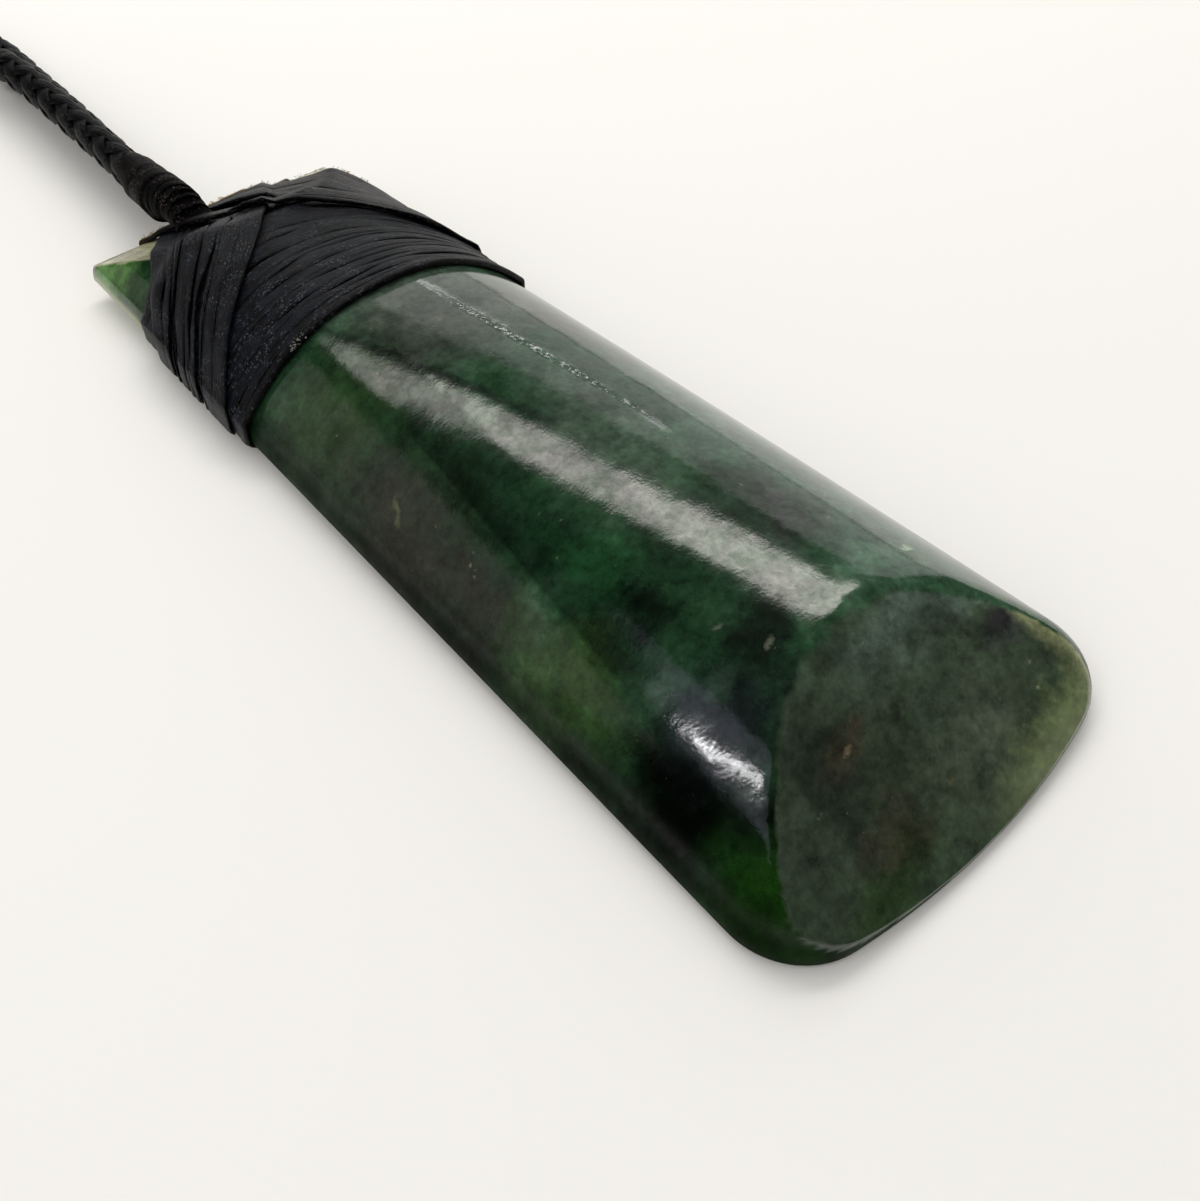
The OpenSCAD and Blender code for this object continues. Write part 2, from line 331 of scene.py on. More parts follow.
@dataclass(frozen=True)
class PaintedReflectionEdge:
    """A straight edge of a painted reflection on the polish: to its right the colour is darkened as by a dark
    object's mirror image, to its left it stays; in mm and degrees.
    """

    x: float
    y: float
    turn: float
    half_length: float
    fade: float
    darkness: float
    sharpness: float = 0.12


@dataclass(frozen=True)
class Nephrite:
    """Nephrite jade, ground and polished by hand: deep greens, grey-black clouds and painted light at its
    slim edges.

    The fine felt of its crystals leaves the polish slightly grained, so a reflection breaks up into specks.
    """

    dark: str = "#101c12"
    middle: str = "#1f3a25"
    light: str = "#3f5a46"
    # Painted light: the pale colour laid along the slim blade edge and in a rim low on the walls at the butt
    edge_light_colour: str = "#9a9f7e"
    fleck: str = "#8d8a6c"
    bevel: str = "#9e9d80"
    ior: float = 1.61
    # How much light goes into the stone, and how far in mm in red, green and blue
    glow: float = 0.12
    glow_spread: tuple[float, float, float] = (0.6, 1.6, 0.7)
    glow_mm: float = 1.2
    # The drifts of green, how their places wander in mm, and how the small marks' places do
    drifts: Noise = Noise(1 / 9, 8.0, 0.62)
    drift_stops: tuple[float, float, float] = (0.34, 0.5, 0.68)
    wander: Noise = Noise(0.22, 8.0, 0.68)
    wander_mm: float = 7.0
    ragged: Noise = Noise(0.9, 5.0, 0.7)
    ragged_mm: float = 1.6
    # Mottles of 2.6 mm and specks of 0.7 mm in the colour, and the pale flecks with the places that have them
    mottles: tuple[tuple[Noise, Span], ...] = (
        (Noise(1 / 2.6, 7.0, 0.72), Span(0.32, 0.68, 0.5, 1.5)),
        (Noise(1 / 0.7, 7.0, 0.72), Span(0.32, 0.68, 0.62, 1.38)),
    )
    flecks: tuple[Noise, Span] = (Noise(1 / 0.9, 3.0, 0.6), Span(0.69, 0.76, 0.0, 0.55))
    flecked_places: tuple[Noise, Span] = (Noise(0.16), Span(0.48, 0.6))
    # How rough the polish is, how much rougher where it is only ground and low on a side, and how much
    # painted shade darkens the colour low on a side
    polish: tuple[Noise, Span] = (Noise(0.45, 3.0), Span(0.0, 1.0, 0.06, 0.13))
    ground_roughness: float = 0.18
    side_roughness: float = 0.3
    side_shade: float = 0.55
    # How much the polish mirrors, by its felt and by its fine grain, and less low on a side
    felt: tuple[Noise, Span] = (Noise(0.5, 7.0, 0.6), Span(0.36, 0.62, 0.3, 0.6))
    seed: tuple[Noise, Span] = (Noise(2.2, 3.0, 0.65), Span(0.35, 0.65, 0.8, 1.2))
    side_mirror: Span = Span(0.0, 1.0, 1.0, 0.05)
    # The faint ridge along the crown, where the grinding left fine chips that glitter
    ridge: Cloud = Cloud(3.1, 1.5, 0.45, 12.5, 4.7, "#ffffff", 1.0)
    chips: Noise = Noise(3.0, 2.0, 0.7)
    glints: Span = Span(0.53, 0.6, 0.08, 3.0)
    # The polish's grain and wave, and the relief of grain, chips and wave
    grain: Noise = Noise(5.0, 3.0)
    wave: Noise = Noise(0.35)
    grain_relief: Relief = Relief(0.2, 0.018)
    chip_relief: Relief = Relief(0.6, 0.05)
    wave_relief: Relief = Relief(0.25, 0.12)
    # A cloud fades out at this share of its half sizes, and is at its full strength within the other
    cloud_edge: float = 1.5
    cloud_core: float = 0.25
    # Painted reflection: a dark object's mirror image, darkening the colour just beyond a straight line on
    # the left flank
    reflection_edge: PaintedReflectionEdge = PaintedReflectionEdge(-8.7, -9.6, -7.3, 13.0, 4.5, 0.55)
    clouds: tuple[Cloud, ...] = (
        Cloud(-11.3, 36.3, 2.0, 2.8, 0, "#5d8a4a", 0.95),
        Cloud(-11.0, 31.4, 1.4, 2.4, 0, "#1d3a1b", 0.9),
        Cloud(-9.5, 8.0, 4.5, 5.0, 0, "#25391f", 0.8),
        Cloud(-10.8, -3.5, 3.8, 7.5, 4, "#26261e", 0.85),
        Cloud(-11.6, -10.5, 2.4, 3.6, 0, "#1c1d17", 0.8),
        Cloud(-11.8, -17.5, 2.6, 5.0, 0, "#2d4322", 0.8),
        Cloud(-7.6, -11.0, 2.6, 9.0, 6, "#132c19", 0.75),
        Cloud(-6.6, -14.5, 2.0, 2.6, 0, "#1f4a2a", 0.6),
        Cloud(-6.5, -18.8, 1.9, 1.6, 20, "#080f0a", 0.9),
        Cloud(-4.2, -24.6, 2.6, 1.7, 30, "#101412", 0.85),
        Cloud(-4.5, -28.4, 1.6, 2.2, 0, "#0b0f0c", 0.85),
        Cloud(-11.8, -27.5, 3.0, 4.4, 0, "#020302", 0.98),
        Cloud(-10.4, -32.3, 1.6, 2.4, 0, "#030603", 0.9),
        Cloud(-8.4, -26.6, 2.4, 3.0, 25, "#14171b", 0.85),
        Cloud(-13.2, -35.0, 2.4, 4.8, 0, "#13300a", 0.95),
        Cloud(-9.5, -38.3, 5.5, 2.0, -20, "#17380c", 0.95),
        Cloud(1.2, -7.0, 2.8, 9.0, -6, "#435345", 0.8),
        Cloud(3.5, 9.5, 5.0, 5.0, 0, "#454a44", 0.85),
        Cloud(-0.5, 10.0, 3.8, 6.5, 10, "#41463f", 0.85),
        Cloud(3.8, -19.2, 3.2, 3.6, 10, "#2a2d29", 0.85),
        Cloud(8.2, -12.0, 2.8, 11.0, 0, "#43594a", 0.7),
        Cloud(9.5, -23.5, 2.6, 5.0, 0, "#4c6351", 0.7),
    )
    face_clouds: tuple[Cloud, ...] = (
        Cloud(0.0, -33.0, 22.0, 12.0, 0, "#3a4536", 0.8),
        Cloud(-3.9, -33.8, 4.0, 3.0, 0, "#2c3527", 0.8),
        Cloud(-6.6, -32.3, 2.4, 3.2, 0, "#1d261d", 0.8),
        Cloud(-4.3, -31.4, 1.9, 1.1, 20, "#3b362b", 0.8),
        Cloud(-5.4, -36.0, 2.4, 1.3, 0, "#373428", 0.8),
        # Painted sheen: a pale grey-green strip just under the blade face's top edge, on the right
        Cloud(5.5, -28.9, 6.5, 1.5, 0, "#55655a", 0.6),
        Cloud(9.3, -32.4, 2.6, 1.3, 0, "#2c2a2e", 0.85),
        Cloud(3.0, -35.0, 3.5, 2.0, 0, "#434b3d", 0.7),
        Cloud(-7.5, -37.6, 4.0, 1.5, 10, "#263a1d", 0.85),
        # The next two are painted light shining through the slim cutting edge and the blade face's right rim
        Cloud(7.5, -37.6, 5.5, 1.3, 12, "#5d6b45", 0.85),
        Cloud(13.0, -33.0, 2.2, 4.8, 0, "#8d9269", 0.92),
    )
    # Small marks: the dark vein over the long reflection, and the palest flecks
    marks: tuple[Cloud, ...] = (
        Cloud(-3.3, 4.6, 0.45, 10.0, 12.3, "#0a100c", 0.8),
        Cloud(-7.1, -25.0, 1.0, 0.8, 30, "#34463c", 0.6),
        Cloud(-5.1, -22.6, 0.3, 0.15, 0, "#4c5345", 0.7),
        Cloud(-4.0, -25.4, 0.4, 0.2, 20, "#5f6052", 0.8),
        Cloud(-4.5, -31.7, 0.3, 0.15, 0, "#76694f", 0.8),
        Cloud(-0.2, -35.8, 0.25, 0.15, 0, "#544d3a", 0.7),
        Cloud(-10.7, -1.0, 0.2, 0.9, -30, "#54563a", 0.7),
        Cloud(8.1, -25.3, 0.35, 0.25, 0, "#9fb09c", 0.9),
    )

    def material(self) -> Material:
        """Makes the stone's material, whose patterns are set by place in mm.

        Returns:
            The material. It reads the mesh's own measures thinness, side, ground and bevelled.
        """
        material, tree = new_material("polished_nephrite")
        mm = place_in_mm(tree)
        warped = self._nudged(tree, mm, self.wander, self.wander_mm)
        ground, side = (add(tree, "Attribute", take="Fac", attribute_name=name)
                        for name in ("ground", "side"))
        chips = add(tree, "TexNoise", self.chips.over(mm))
        ridge = self._within(tree, mm, self.ridge, 1.0, 0.5)
        chipped = add(tree, "Math", {0: chips, 1: ridge}, operation="MULTIPLY")
        grain, wave = (add(tree, "TexNoise", pattern.over(mm)) for pattern in (self.grain, self.wave))
        reliefs = [self.grain_relief.of(grain), self.chip_relief.of(chipped), self.wave_relief.of(wave)]
        rougher = [{0: ground, 1: self.ground_roughness}, {0: side, 1: self.side_roughness}]
        surface(tree, {
            "Base Color": self._coloured(tree, mm, warped, ground, side),
            "Roughness": chained(tree, "Math", 2, rougher, varied(tree, mm, *self.polish),
                                 operation="MULTIPLY_ADD"),
            "IOR": self.ior,
            "Specular IOR Level": self._mirrored(tree, mm, warped, side, ridge, chips),
            "Normal": chained(tree, "Bump", "Normal", reliefs),
            "Subsurface Weight": self.glow,
            "Subsurface Radius": self.glow_spread,
            "Subsurface Scale": self.glow_mm * MM,
        })
        return material

    def _coloured(self, tree: Tree, mm: Socket, warped: Socket, ground: Socket, side: Socket) -> Socket:
        """Works out the stone's colour.

        Args:
            tree: The material's tree.
            mm: The place in mm.
            warped: The place in mm, moved about by the broad wander.
            ground: Where the blade's face is.
            side: How low on a side it is.

        Returns:
            The colour.
        """
        bevelled, painted_edge_light = (add(tree, "Attribute", take="Fac", attribute_name=name)
                              for name in ("bevelled", "painted_edge_light"))
        drifts = self._drifts(tree, warped)
        face = self._clouded(tree, warped, drifts, self.face_clouds)
        body = self._with_painted_reflection(tree, mm, self._clouded(tree, warped, drifts, self.clouds))
        over = [{"Factor": bevelled, "B": linear(self.bevel)}, {"Factor": ground, "B": face}]
        colour = chained(tree, "Mix", "A", over, body, data_type="RGBA")
        colour = self._clouded(tree, self._nudged(tree, mm, self.ragged, self.ragged_mm), colour, self.marks)
        tones = [{"Scale": varied(tree, mm, *mottle)} for mottle in self.mottles]
        colour = chained(tree, "VectorMath", 0, tones, colour, operation="SCALE")
        flecks, places = (varied(tree, mm, *parts) for parts in (self.flecks, self.flecked_places))
        flecks = add(tree, "Math", {0: flecks, 1: places}, operation="MULTIPLY")
        colour = add(tree, "Mix", {"Factor": flecks, "A": colour, "B": linear(self.fleck)}, data_type="RGBA")
        # Painted shade: the colour is darker low on a side
        kept = add(tree, "Math", {0: side, 1: -self.side_shade, 2: 1.0}, operation="MULTIPLY_ADD")
        colour = add(tree, "VectorMath", {0: colour, "Scale": kept}, operation="SCALE")
        # Painted light: paler towards the slim blade edge and in a rim low on the walls at the butt
        return add(tree, "Mix", {"Factor": painted_edge_light, "A": colour, "B": linear(self.edge_light_colour)}, data_type="RGBA")

    def _mirrored(self, tree: Tree, mm: Socket, warped: Socket, side: Socket, ridge: Socket,
                  chips: Socket) -> Socket:
        """Works out how much the polish mirrors.

        Args:
            tree: The material's tree.
            mm: The place in mm.
            warped: The place in mm, moved about by the broad wander.
            side: How low on a side it is.
            ridge: Where the ridge along the crown is.
            chips: The noise of its fine chips.

        Returns:
            The specular level.
        """
        seed = varied(tree, mm, *self.seed)
        shade = add(tree, "MapRange", self.side_mirror.of(side))
        felt = varied(tree, warped, *self.felt)
        mirror = chained(tree, "Math", 0, [{1: seed}, {1: shade}], felt, operation="MULTIPLY")
        glints = add(tree, "MapRange", self.glints.of(chips))
        return add(tree, "Mix", {"Factor": ridge, "A": mirror, "B": glints}, data_type="FLOAT")

    def _nudged(self, tree: Tree, mm: Socket, pattern: Noise, reach: float) -> Socket:
        """Returns a place in mm that a noise moves about, with its reach in mm."""
        drift = add(tree, "TexNoise", pattern.over(mm), take="Color")
        centred = add(tree, "VectorMath", {0: drift, 1: (0.5, 0.5, 0.5)}, operation="SUBTRACT")
        pushed = add(tree, "VectorMath", {0: centred, "Scale": reach}, operation="SCALE")
        return add(tree, "VectorMath", {0: mm, 1: pushed}, operation="ADD")

    def _drifts(self, tree: Tree, warped: Socket) -> Socket:
        """Returns the ground colour, broad drifts of green."""
        greens = add(tree, "ValToRGB", {"Fac": add(tree, "TexNoise", self.drifts.over(warped))})
        low, middle, high = self.drift_stops
        stops = greens.node.color_ramp.elements
        stops[0].position, stops[0].color = low, linear(self.dark)
        stops[1].position, stops[1].color = high, linear(self.light)
        stops.new(middle).color = linear(self.middle)
        return greens

    def _with_painted_reflection(self, tree: Tree, mm: Socket, colour: Socket) -> Socket:
        """Returns a colour with a painted dark reflection just beyond a straight edge, which comes back to
        itself further on.
        """
        line = self.reflection_edge
        local = add(tree, "Mapping", {"Vector": mm, "Location": (line.x, line.y, 0.0),
                                      "Rotation": (0.0, 0.0, math.radians(line.turn))}, vector_type="TEXTURE")
        across = add(tree, "SeparateXYZ", {0: local}, take="X")
        apart = add(tree, "Math", {0: across.node.outputs["Y"]}, operation="ABSOLUTE")
        reflected_dark = add(tree, "MapRange", Span(0.0, line.fade, line.darkness, 0.0).of(across))
        clear = add(tree, "MapRange", Span(-line.sharpness, line.sharpness).of(across))
        ended = add(tree, "MapRange", Span(line.half_length, 0.7 * line.half_length).of(apart))
        share = chained(tree, "Math", 0, [{1: reflected_dark}, {1: ended}], clear, operation="MULTIPLY")
        kept = add(tree, "Math", {0: 1.0, 1: share}, operation="SUBTRACT")
        return add(tree, "VectorMath", {0: colour, "Scale": kept}, operation="SCALE")

    def _within(self, tree: Tree, place: Socket, cloud: Cloud, edge: float, core: float) -> Socket:
        """Works out how far a place lies within a cloud.

        Args:
            tree: The material's tree.
            place: The place in mm.
            cloud: The cloud.
            edge: Where it fades out, as a share of its half sizes.
            core: Where it is at its full strength.

        Returns:
            A share from 0 to the cloud's strength.
        """
        local = add(tree, "Mapping", {
            "Vector": place,
            "Location": (cloud.x, cloud.y, 0.0),
            "Rotation": (0.0, 0.0, math.radians(cloud.turn)),
            "Scale": (cloud.half_x, cloud.half_y, 1000.0),
        }, vector_type="TEXTURE")
        reach = add(tree, "VectorMath", {0: local}, operation="LENGTH")
        span = Span(edge, core, 0.0, cloud.strength)
        return add(tree, "MapRange", span.of(reach), interpolation_type="SMOOTHSTEP")

    def _clouded(self, tree: Tree, place: Socket, colour: Socket, clouds: Sequence[Cloud]) -> Socket:
        """Returns a colour with clouds laid over it."""
        over = [{"Factor": self._within(tree, place, cloud, self.cloud_edge, self.cloud_core),
                 "B": linear(cloud.colour)} for cloud in clouds]
        return chained(tree, "Mix", "A", over, colour, data_type="RGBA")


class Lay(Enum):
    """How the fibres of a thread lie, with the width in mm of one fibre as it is drawn."""

    FLAT = 0.09
    TWISTED = 0.12


@dataclass(frozen=True)
class WaxedThread:
    """Waxed polyester thread: near black with a satin gloss, fine fibres and pale specks of dust and wax."""

    name: str
    dark: str
    light: str
    speck: str
    lay: Lay
    roughness: float
    bump: float
    gloss: float
    bleached: str = "#6e5b34"
    # The fibres and how they are drawn out lengthwise, the tone, and the share of the painted light top that
    # shows, with some rubbing
    fibres: Noise = Noise(1.0, 3.0, 0.6)
    drawn_out: float = 0.28
    tone: Noise = Noise(0.9, 5.0, 0.65)
    wear_and_top_light: Span = Span(0.17, 0.36)
    # The specks for each mm, how much each shows, and the places that have them
    specks_per_mm: float = 4.2
    speck_span: Span = Span(0.36, 0.14, 0.0, 0.75)
    speck_places: tuple[Noise, Span] = (Noise(0.7), Span(0.42, 0.62))
    # The knap of the wax, the depths in mm of its relief and of the fibres', and how the roughness varies
    knap: Noise = Noise(5.0, 3.0, 0.7)
    knap_depth: float = 0.1
    fibre_depth: float = 0.14
    smoother: float = 0.08
    rougher: float = 0.1
    # Angle in degrees of a twisted thread's fibres
    twist: float = 35.0

    def material(self) -> Material:
        """Makes the thread's material on its UV map, whose second direction runs along the thread."""
        material, tree = new_material(self.name)
        mm = place_in_mm(tree)
        slope = math.radians(self.twist) if self.lay is Lay.TWISTED else 0.0
        turned = add(tree, "Mapping", {"Vector": add(tree, "UVMap"), "Rotation": (0.0, 0.0, slope)})
        drawn = add(tree, "Mapping", {"Vector": turned, "Scale": (1 / self.lay.value, self.drawn_out, 1.0)})
        fibres = add(tree, "TexNoise", self.fibres.over(drawn))
        tone = add(tree, "TexNoise", self.tone.over(mm))
        uneven = add(tree, "Math", {0: fibres, 1: tone}, operation="MULTIPLY")
        share = add(tree, "MapRange", self.wear_and_top_light.of(uneven))
        over = []
        # The crest measure paints light on each thread's top and shade on its sides and between strands, with
        # some rubbing; warm is bleached thread
        for name, colour in (("crest", self.light), ("warm", self.bleached)):
            measure = add(tree, "Attribute", take="Fac", attribute_name=name)
            factor = add(tree, "Math", {0: measure, 1: share}, operation="MULTIPLY")
            over.append({"Factor": factor, "B": linear(colour)})
        cells = add(tree, "TexVoronoi", {"Vector": mm, "Scale": self.specks_per_mm})
        here = add(tree, "MapRange", self.speck_span.of(cells))
        places = varied(tree, mm, *self.speck_places)
        specks = add(tree, "Math", {0: here, 1: places}, operation="MULTIPLY")
        over.append({"Factor": specks, "B": linear(self.speck)})
        knap = add(tree, "TexNoise", self.knap.over(mm))
        rough = Span(0.0, 1.0, self.roughness - self.smoother, self.roughness + self.rougher)
        reliefs = [Relief(self.bump, self.knap_depth).of(knap),
                   Relief(self.bump, self.fibre_depth).of(fibres)]
        surface(tree, {
            "Base Color": chained(tree, "Mix", "A", over, linear(self.dark), data_type="RGBA"),
            "Roughness": add(tree, "MapRange", rough.of(tone)),
            "Normal": chained(tree, "Bump", "Normal", reliefs),
            "Specular IOR Level": self.gloss,
        })
        return material


@dataclass(frozen=True)
class PaleBoard:
    """Matt cream board that the pendant lies on."""

    colour: str = "#f1f0ed"
    roughness: float = 0.9
    # Its faint tooth, in grains for each metre
    tooth: Noise = Noise(900.0)
    relief: Relief = Relief(0.05, 0.1)

    def material(self) -> Material:
        """Makes the board's material, with the faint tooth of card."""
        material, tree = new_material("cream_board")
        tooth = add(tree, "TexNoise", self.tooth.over(add(tree, "TexCoord", take="Object")))
        relief = add(tree, "Bump", self.relief.of(tooth))
        surface(tree, {"Base Color": linear(self.colour), "Roughness": self.roughness, "Normal": relief})
        return material


@dataclass
class AdzeStone:
    """The greenstone blade: flat back, upright walls, domed top, ground face, bevelled butt. Sizes in mm."""

    length: float = 78.0
    blade_width: float = 28.9
    butt_width: float = 22.5
    blade_bow: float = 2.0
    corner_radius: float = 5.0
    wall_height: float = 1.8
    crown_butt: float = 4.9
    crown_middle: float = 8.1
    crown_blade: float = 8.1
    crown_power: float = 2.35
    edge_thickness: float = 0.8
    blade_angle: float = 32.3
    butt_thickness: float = 1.5
    butt_angle: float = 23.0
    lower_round: float = 0.3
    # The wall's top is rounded into the crown, from this height up and this far in
    round_from: float = 0.32
    round_inset: float = 1.8
    round_steps: int = 12
    # Steps of the mesh: along the sides, round a corner, along the blade, and across half of the crown
    side_steps: int = 170
    corner_steps: int = 20
    blade_steps: int = 26
    crown_steps: int = 26
    # Width over which the blade face's edge is rounded: crisp, soft to the right, and more at the far left
    crisp: float = 0.12
    soft: float = 1.3
    left_soft: float = 0.36
    bevel_soft: float = 0.15
    # Distances in mm from the ground faces of the lines of points that hold their edges
    edge_lines: tuple[float, ...] = (-0.5, -0.22, -0.07, 0.0, 0.07, 0.22, 0.5)

    @property
    def butt_y(self) -> float:
        """Place of the butt along the stone."""
        return self.length / 2

    @property
    def blade_y(self) -> float:
        """Place of the middle of the cutting edge."""
        return -self.length / 2

    @property
    def shoulder_y(self) -> float:
        """Place of the blade's corners, were they sharp."""
        return self.blade_y + self.blade_bow

    @property
    def side_slope(self) -> float:
        """How much each side spreads for each mm towards the blade."""
        return (self.blade_width - self.butt_width) / 2 / (self.butt_y - self.shoulder_y)

    def half_width(self, y: float) -> float:
        """Half of the width between the straight sides."""
        return self.butt_width / 2 + self.side_slope * (self.butt_y - y)

    def crown(self, y: float) -> float:
        """Height of the crown's middle line, a curve through its three driving heights."""
        u = (self.butt_y - y) / (self.butt_y - self.shoulder_y)
        return (self.crown_butt * (1 - u) * (1 - 2 * u) + 4 * self.crown_middle * u * (1 - u)
                + self.crown_blade * u * (2 * u - 1))

    def dome(self, share: float, y: float) -> float:
        """Height of the rounded top at a share of the half width."""
        rise = self.crown(y) - self.wall_height
        return self.wall_height + rise * (1 - min(abs(share), 1.0) ** self.crown_power)

    def bevel(self, y: float) -> float:
        """Height of the bevel on the butt."""
        return self.butt_thickness + (self.butt_y - y) * math.tan(math.radians(self.butt_angle))

    def facet(self, y: float) -> float:
        """Height of the ground face that makes the blade."""
        return self.edge_thickness + (y - self.blade_y) * math.tan(math.radians(self.blade_angle))

    def top(self, x: float, y: float) -> float:
        """Height of the top at a place behind the blade."""
        return min(self.dome(x / self.half_width(y), y), self.bevel(y))

    def outline(self) -> list[tuple[Vector, float]]:
        """Works out the right half of the plan, from the butt to the blade.

        Returns:
            For each point, its place and the angle that the edge faces.
        """
        slope, angle = self.side_slope, math.atan(self.side_slope)
        radius = ((self.blade_width / 2) ** 2 + self.blade_bow ** 2) / (2 * self.blade_bow)
        centre_y = self.blade_y + radius
        inner = radius - self.corner_radius
        k = self.half_width(centre_y) - self.corner_radius / math.cos(angle)
        spread = 1 + slope ** 2
        drop = (slope * k - math.sqrt((slope * k) ** 2 - spread * (k ** 2 - inner ** 2))) / spread
        corner = Vector((k - slope * drop, centre_y + drop))
        end_angle = math.atan2(drop, corner.x)
        last_y = corner.y + self.corner_radius * math.sin(angle)
        points = []
        for i in range(self.side_steps):
            y = mix(self.butt_y, last_y, i / self.side_steps)
            points.append((Vector((self.half_width(y), y)), angle))
        for i in range(self.corner_steps + 1):
            a = mix(angle, end_angle, i / self.corner_steps)
            points.append((corner + self.corner_radius * Vector((math.cos(a), math.sin(a))), a))
        for i in range(1, self.blade_steps + 1):
            a = mix(end_angle, math.radians(-89), i / self.blade_steps)
            points.append((Vector((radius * math.cos(a), centre_y + radius * math.sin(a))), a))
        return points

    def section(self, edge: Vector, angle: float) -> list[Vector]:
        """Works out one section, from the left foot over the crown to the right foot.

        Args:
            edge: The outline's point on the right.
            angle: The angle that the outline faces there.

        Returns:
            The section's points in mm.
        """
        facing = Vector((math.cos(angle), math.sin(angle)))
        foot = self.lower_round
        rounding = ((foot, 0.0), (0.3 * foot, 0.3 * foot), (0.0, foot))
        right = [(edge - inset * facing, height) for inset, height in rounding]
        inset = min(self.round_inset, 0.3 * edge.x)
        inner = 1 - inset / edge.x
        for k in range(self.round_steps):
            t = k / self.round_steps
            height = ((1 - t) ** 2 * self.round_from + 2 * t * (1 - t) * self.wall_height
                      + t * t * self.dome(inner, edge.y))
            right.append((edge - Vector((inset * t * t, 0)), height))
        steps = self.crown_steps
        shares = [inner * math.sin(math.pi / 2 * j / steps) for j in range(-steps, steps + 1)]
        over = [Vector((s * edge.x, edge.y, self.dome(s, edge.y))) for s in shares]
        return ([Vector((-p.x, p.y, z)) for p, z in right] + over
                + [Vector((p.x, p.y, z)) for p, z in reversed(right)])

    def build(self) -> Piece:
        """Models the stone: sections joined, lines cut in along the ground faces, then those ground flat.

        Returns:
            The stone, with its measures thinness, side, ground and bevelled on its points.
        """
        rows = [[p * MM for p in self.section(edge, angle)] for edge, angle in self.outline()]
        stone = lattice("greenstone_blade", rows, capped=True)
        select_only(stone)
        bpy.ops.object.mode_set(mode="EDIT")
        for slope, y, z in ((self.blade_angle, self.blade_y, self.edge_thickness),
                            (-self.butt_angle, self.butt_y, self.butt_thickness)):
            normal = Vector((0, -math.sin(math.radians(slope)), math.cos(math.radians(slope))))
            for line in self.edge_lines:
                bpy.ops.mesh.select_all(action="SELECT")
                bpy.ops.mesh.bisect(plane_co=Vector((0, y, z)) * MM + normal * line * MM, plane_no=normal)
        bpy.ops.object.mode_set(mode="OBJECT")
        self._grind(stone)
        bpy.ops.object.mode_set(mode="EDIT")
        bpy.ops.mesh.select_all(action="SELECT")
        bpy.ops.mesh.remove_doubles(threshold=0.004 * MM)
        bpy.ops.mesh.normals_make_consistent(inside=False)
        bpy.ops.object.mode_set(mode="OBJECT")
        bpy.ops.object.shade_smooth()
        self._measure(stone)
        settle(stone)
        return stone

    def softness(self, x: float) -> float:
        """Width in mm over which the blade face's edge is rounded at a place across the stone."""
        return mix(self.crisp, self.soft, ramp(x, 1.5, 12.0)) + self.left_soft * (1 - ramp(x, -9.0, 1.2))

    def _grind(self, stone: Piece) -> None:
        """Lowers all that stands above the blade's face and the butt's bevel onto them."""
        for vertex in stone.data.vertices:
            x, y, z = vertex.co / MM
            for plane, soft in ((self.facet(y), self.softness(x)), (self.bevel(y), self.bevel_soft)):
                h = max(0.0, soft - abs(z - plane)) / soft
                z = min(z, plane) - (h * h * soft / 4 if z > self.lower_round else 0.0)
            vertex.co.z = z * MM

    def _measure(self, stone: Piece) -> None:
        """Stores where light is painted on, how low on a side, and whether on the blade face or the bevel."""
        measures: dict[str, list[float]] = {"painted_edge_light": [], "side": [], "ground": [], "bevelled": []}
        for vertex in stone.data.vertices:
            x, y, z = vertex.co / MM
            height = min(self.top(x, max(y, self.blade_y)), self.facet(y))
            on_face = height > self.facet(y) - 0.02 and z > self.facet(y) - 0.3
            on_bevel = z > self.bevel(y) - 0.05
            # Painted light: a pale rim low on the walls at the butt, and paler towards the slim blade edge
            butt_rim_light = 0.9 * (1 - ramp(z, 0.85, 0.7)) * ramp(y, 30.0, 4.0)
            blade_edge_light = (1 - ramp(height, 1.5, 2.4)) * mix(0.0, 0.6, ramp(x, 5.0, 14.0)) if y < 0 else 0.0
            low_side = (1 - ramp(z, 2.5, 2.2)) * (1 - 0.8 * ramp(y, 30.0, 4.0))
            measures["painted_edge_light"].append(max(blade_edge_light, butt_rim_light))
            measures["side"].append(0.0 if on_face or on_bevel else low_side)
            measures["ground"].append(1.0 if on_face else 0.0)
            measures["bevelled"].append(0.85 if on_bevel else 0.0)
        for name, values in measures.items():
            stone.data.attributes.new(name, "FLOAT", "POINT").data.foreach_set("value", values)


@dataclass(frozen=True)
class Turn:
    """One closed turn of thread, drawn in plan over the stone's top, in mm."""

    start: Vector
    end: Vector
    arch: float
    leaning: bool

    def rise(self, share: float) -> float:
        """Height of the turn's arch in plan, 1 at its highest, even on both sides or leaning to its start."""
        v = min(1.0, max(0.0, share))
        return 6.75 * v * (1 - v) ** 2 if self.leaning else 4 * v * (1 - v)

    def plan(self, share: float) -> Vector:
        """Place in plan at a share of the run."""
        return self.start.lerp(self.end, share) + Vector((0, self.arch * self.rise(share)))

    def y_at(self, x: float) -> float:
        """Place of the turn's line at a given x."""
        share = (x - self.start.x) / (self.end.x - self.start.x)
        return mix(self.start.y, self.end.y, share) + self.arch * self.rise(share)


class Layer(Enum):
    """Where a band lies among the others, from the stone outwards."""

    ON_STONE = 0
    OVER_MAIN = 1
    OVER_LEFT = 2


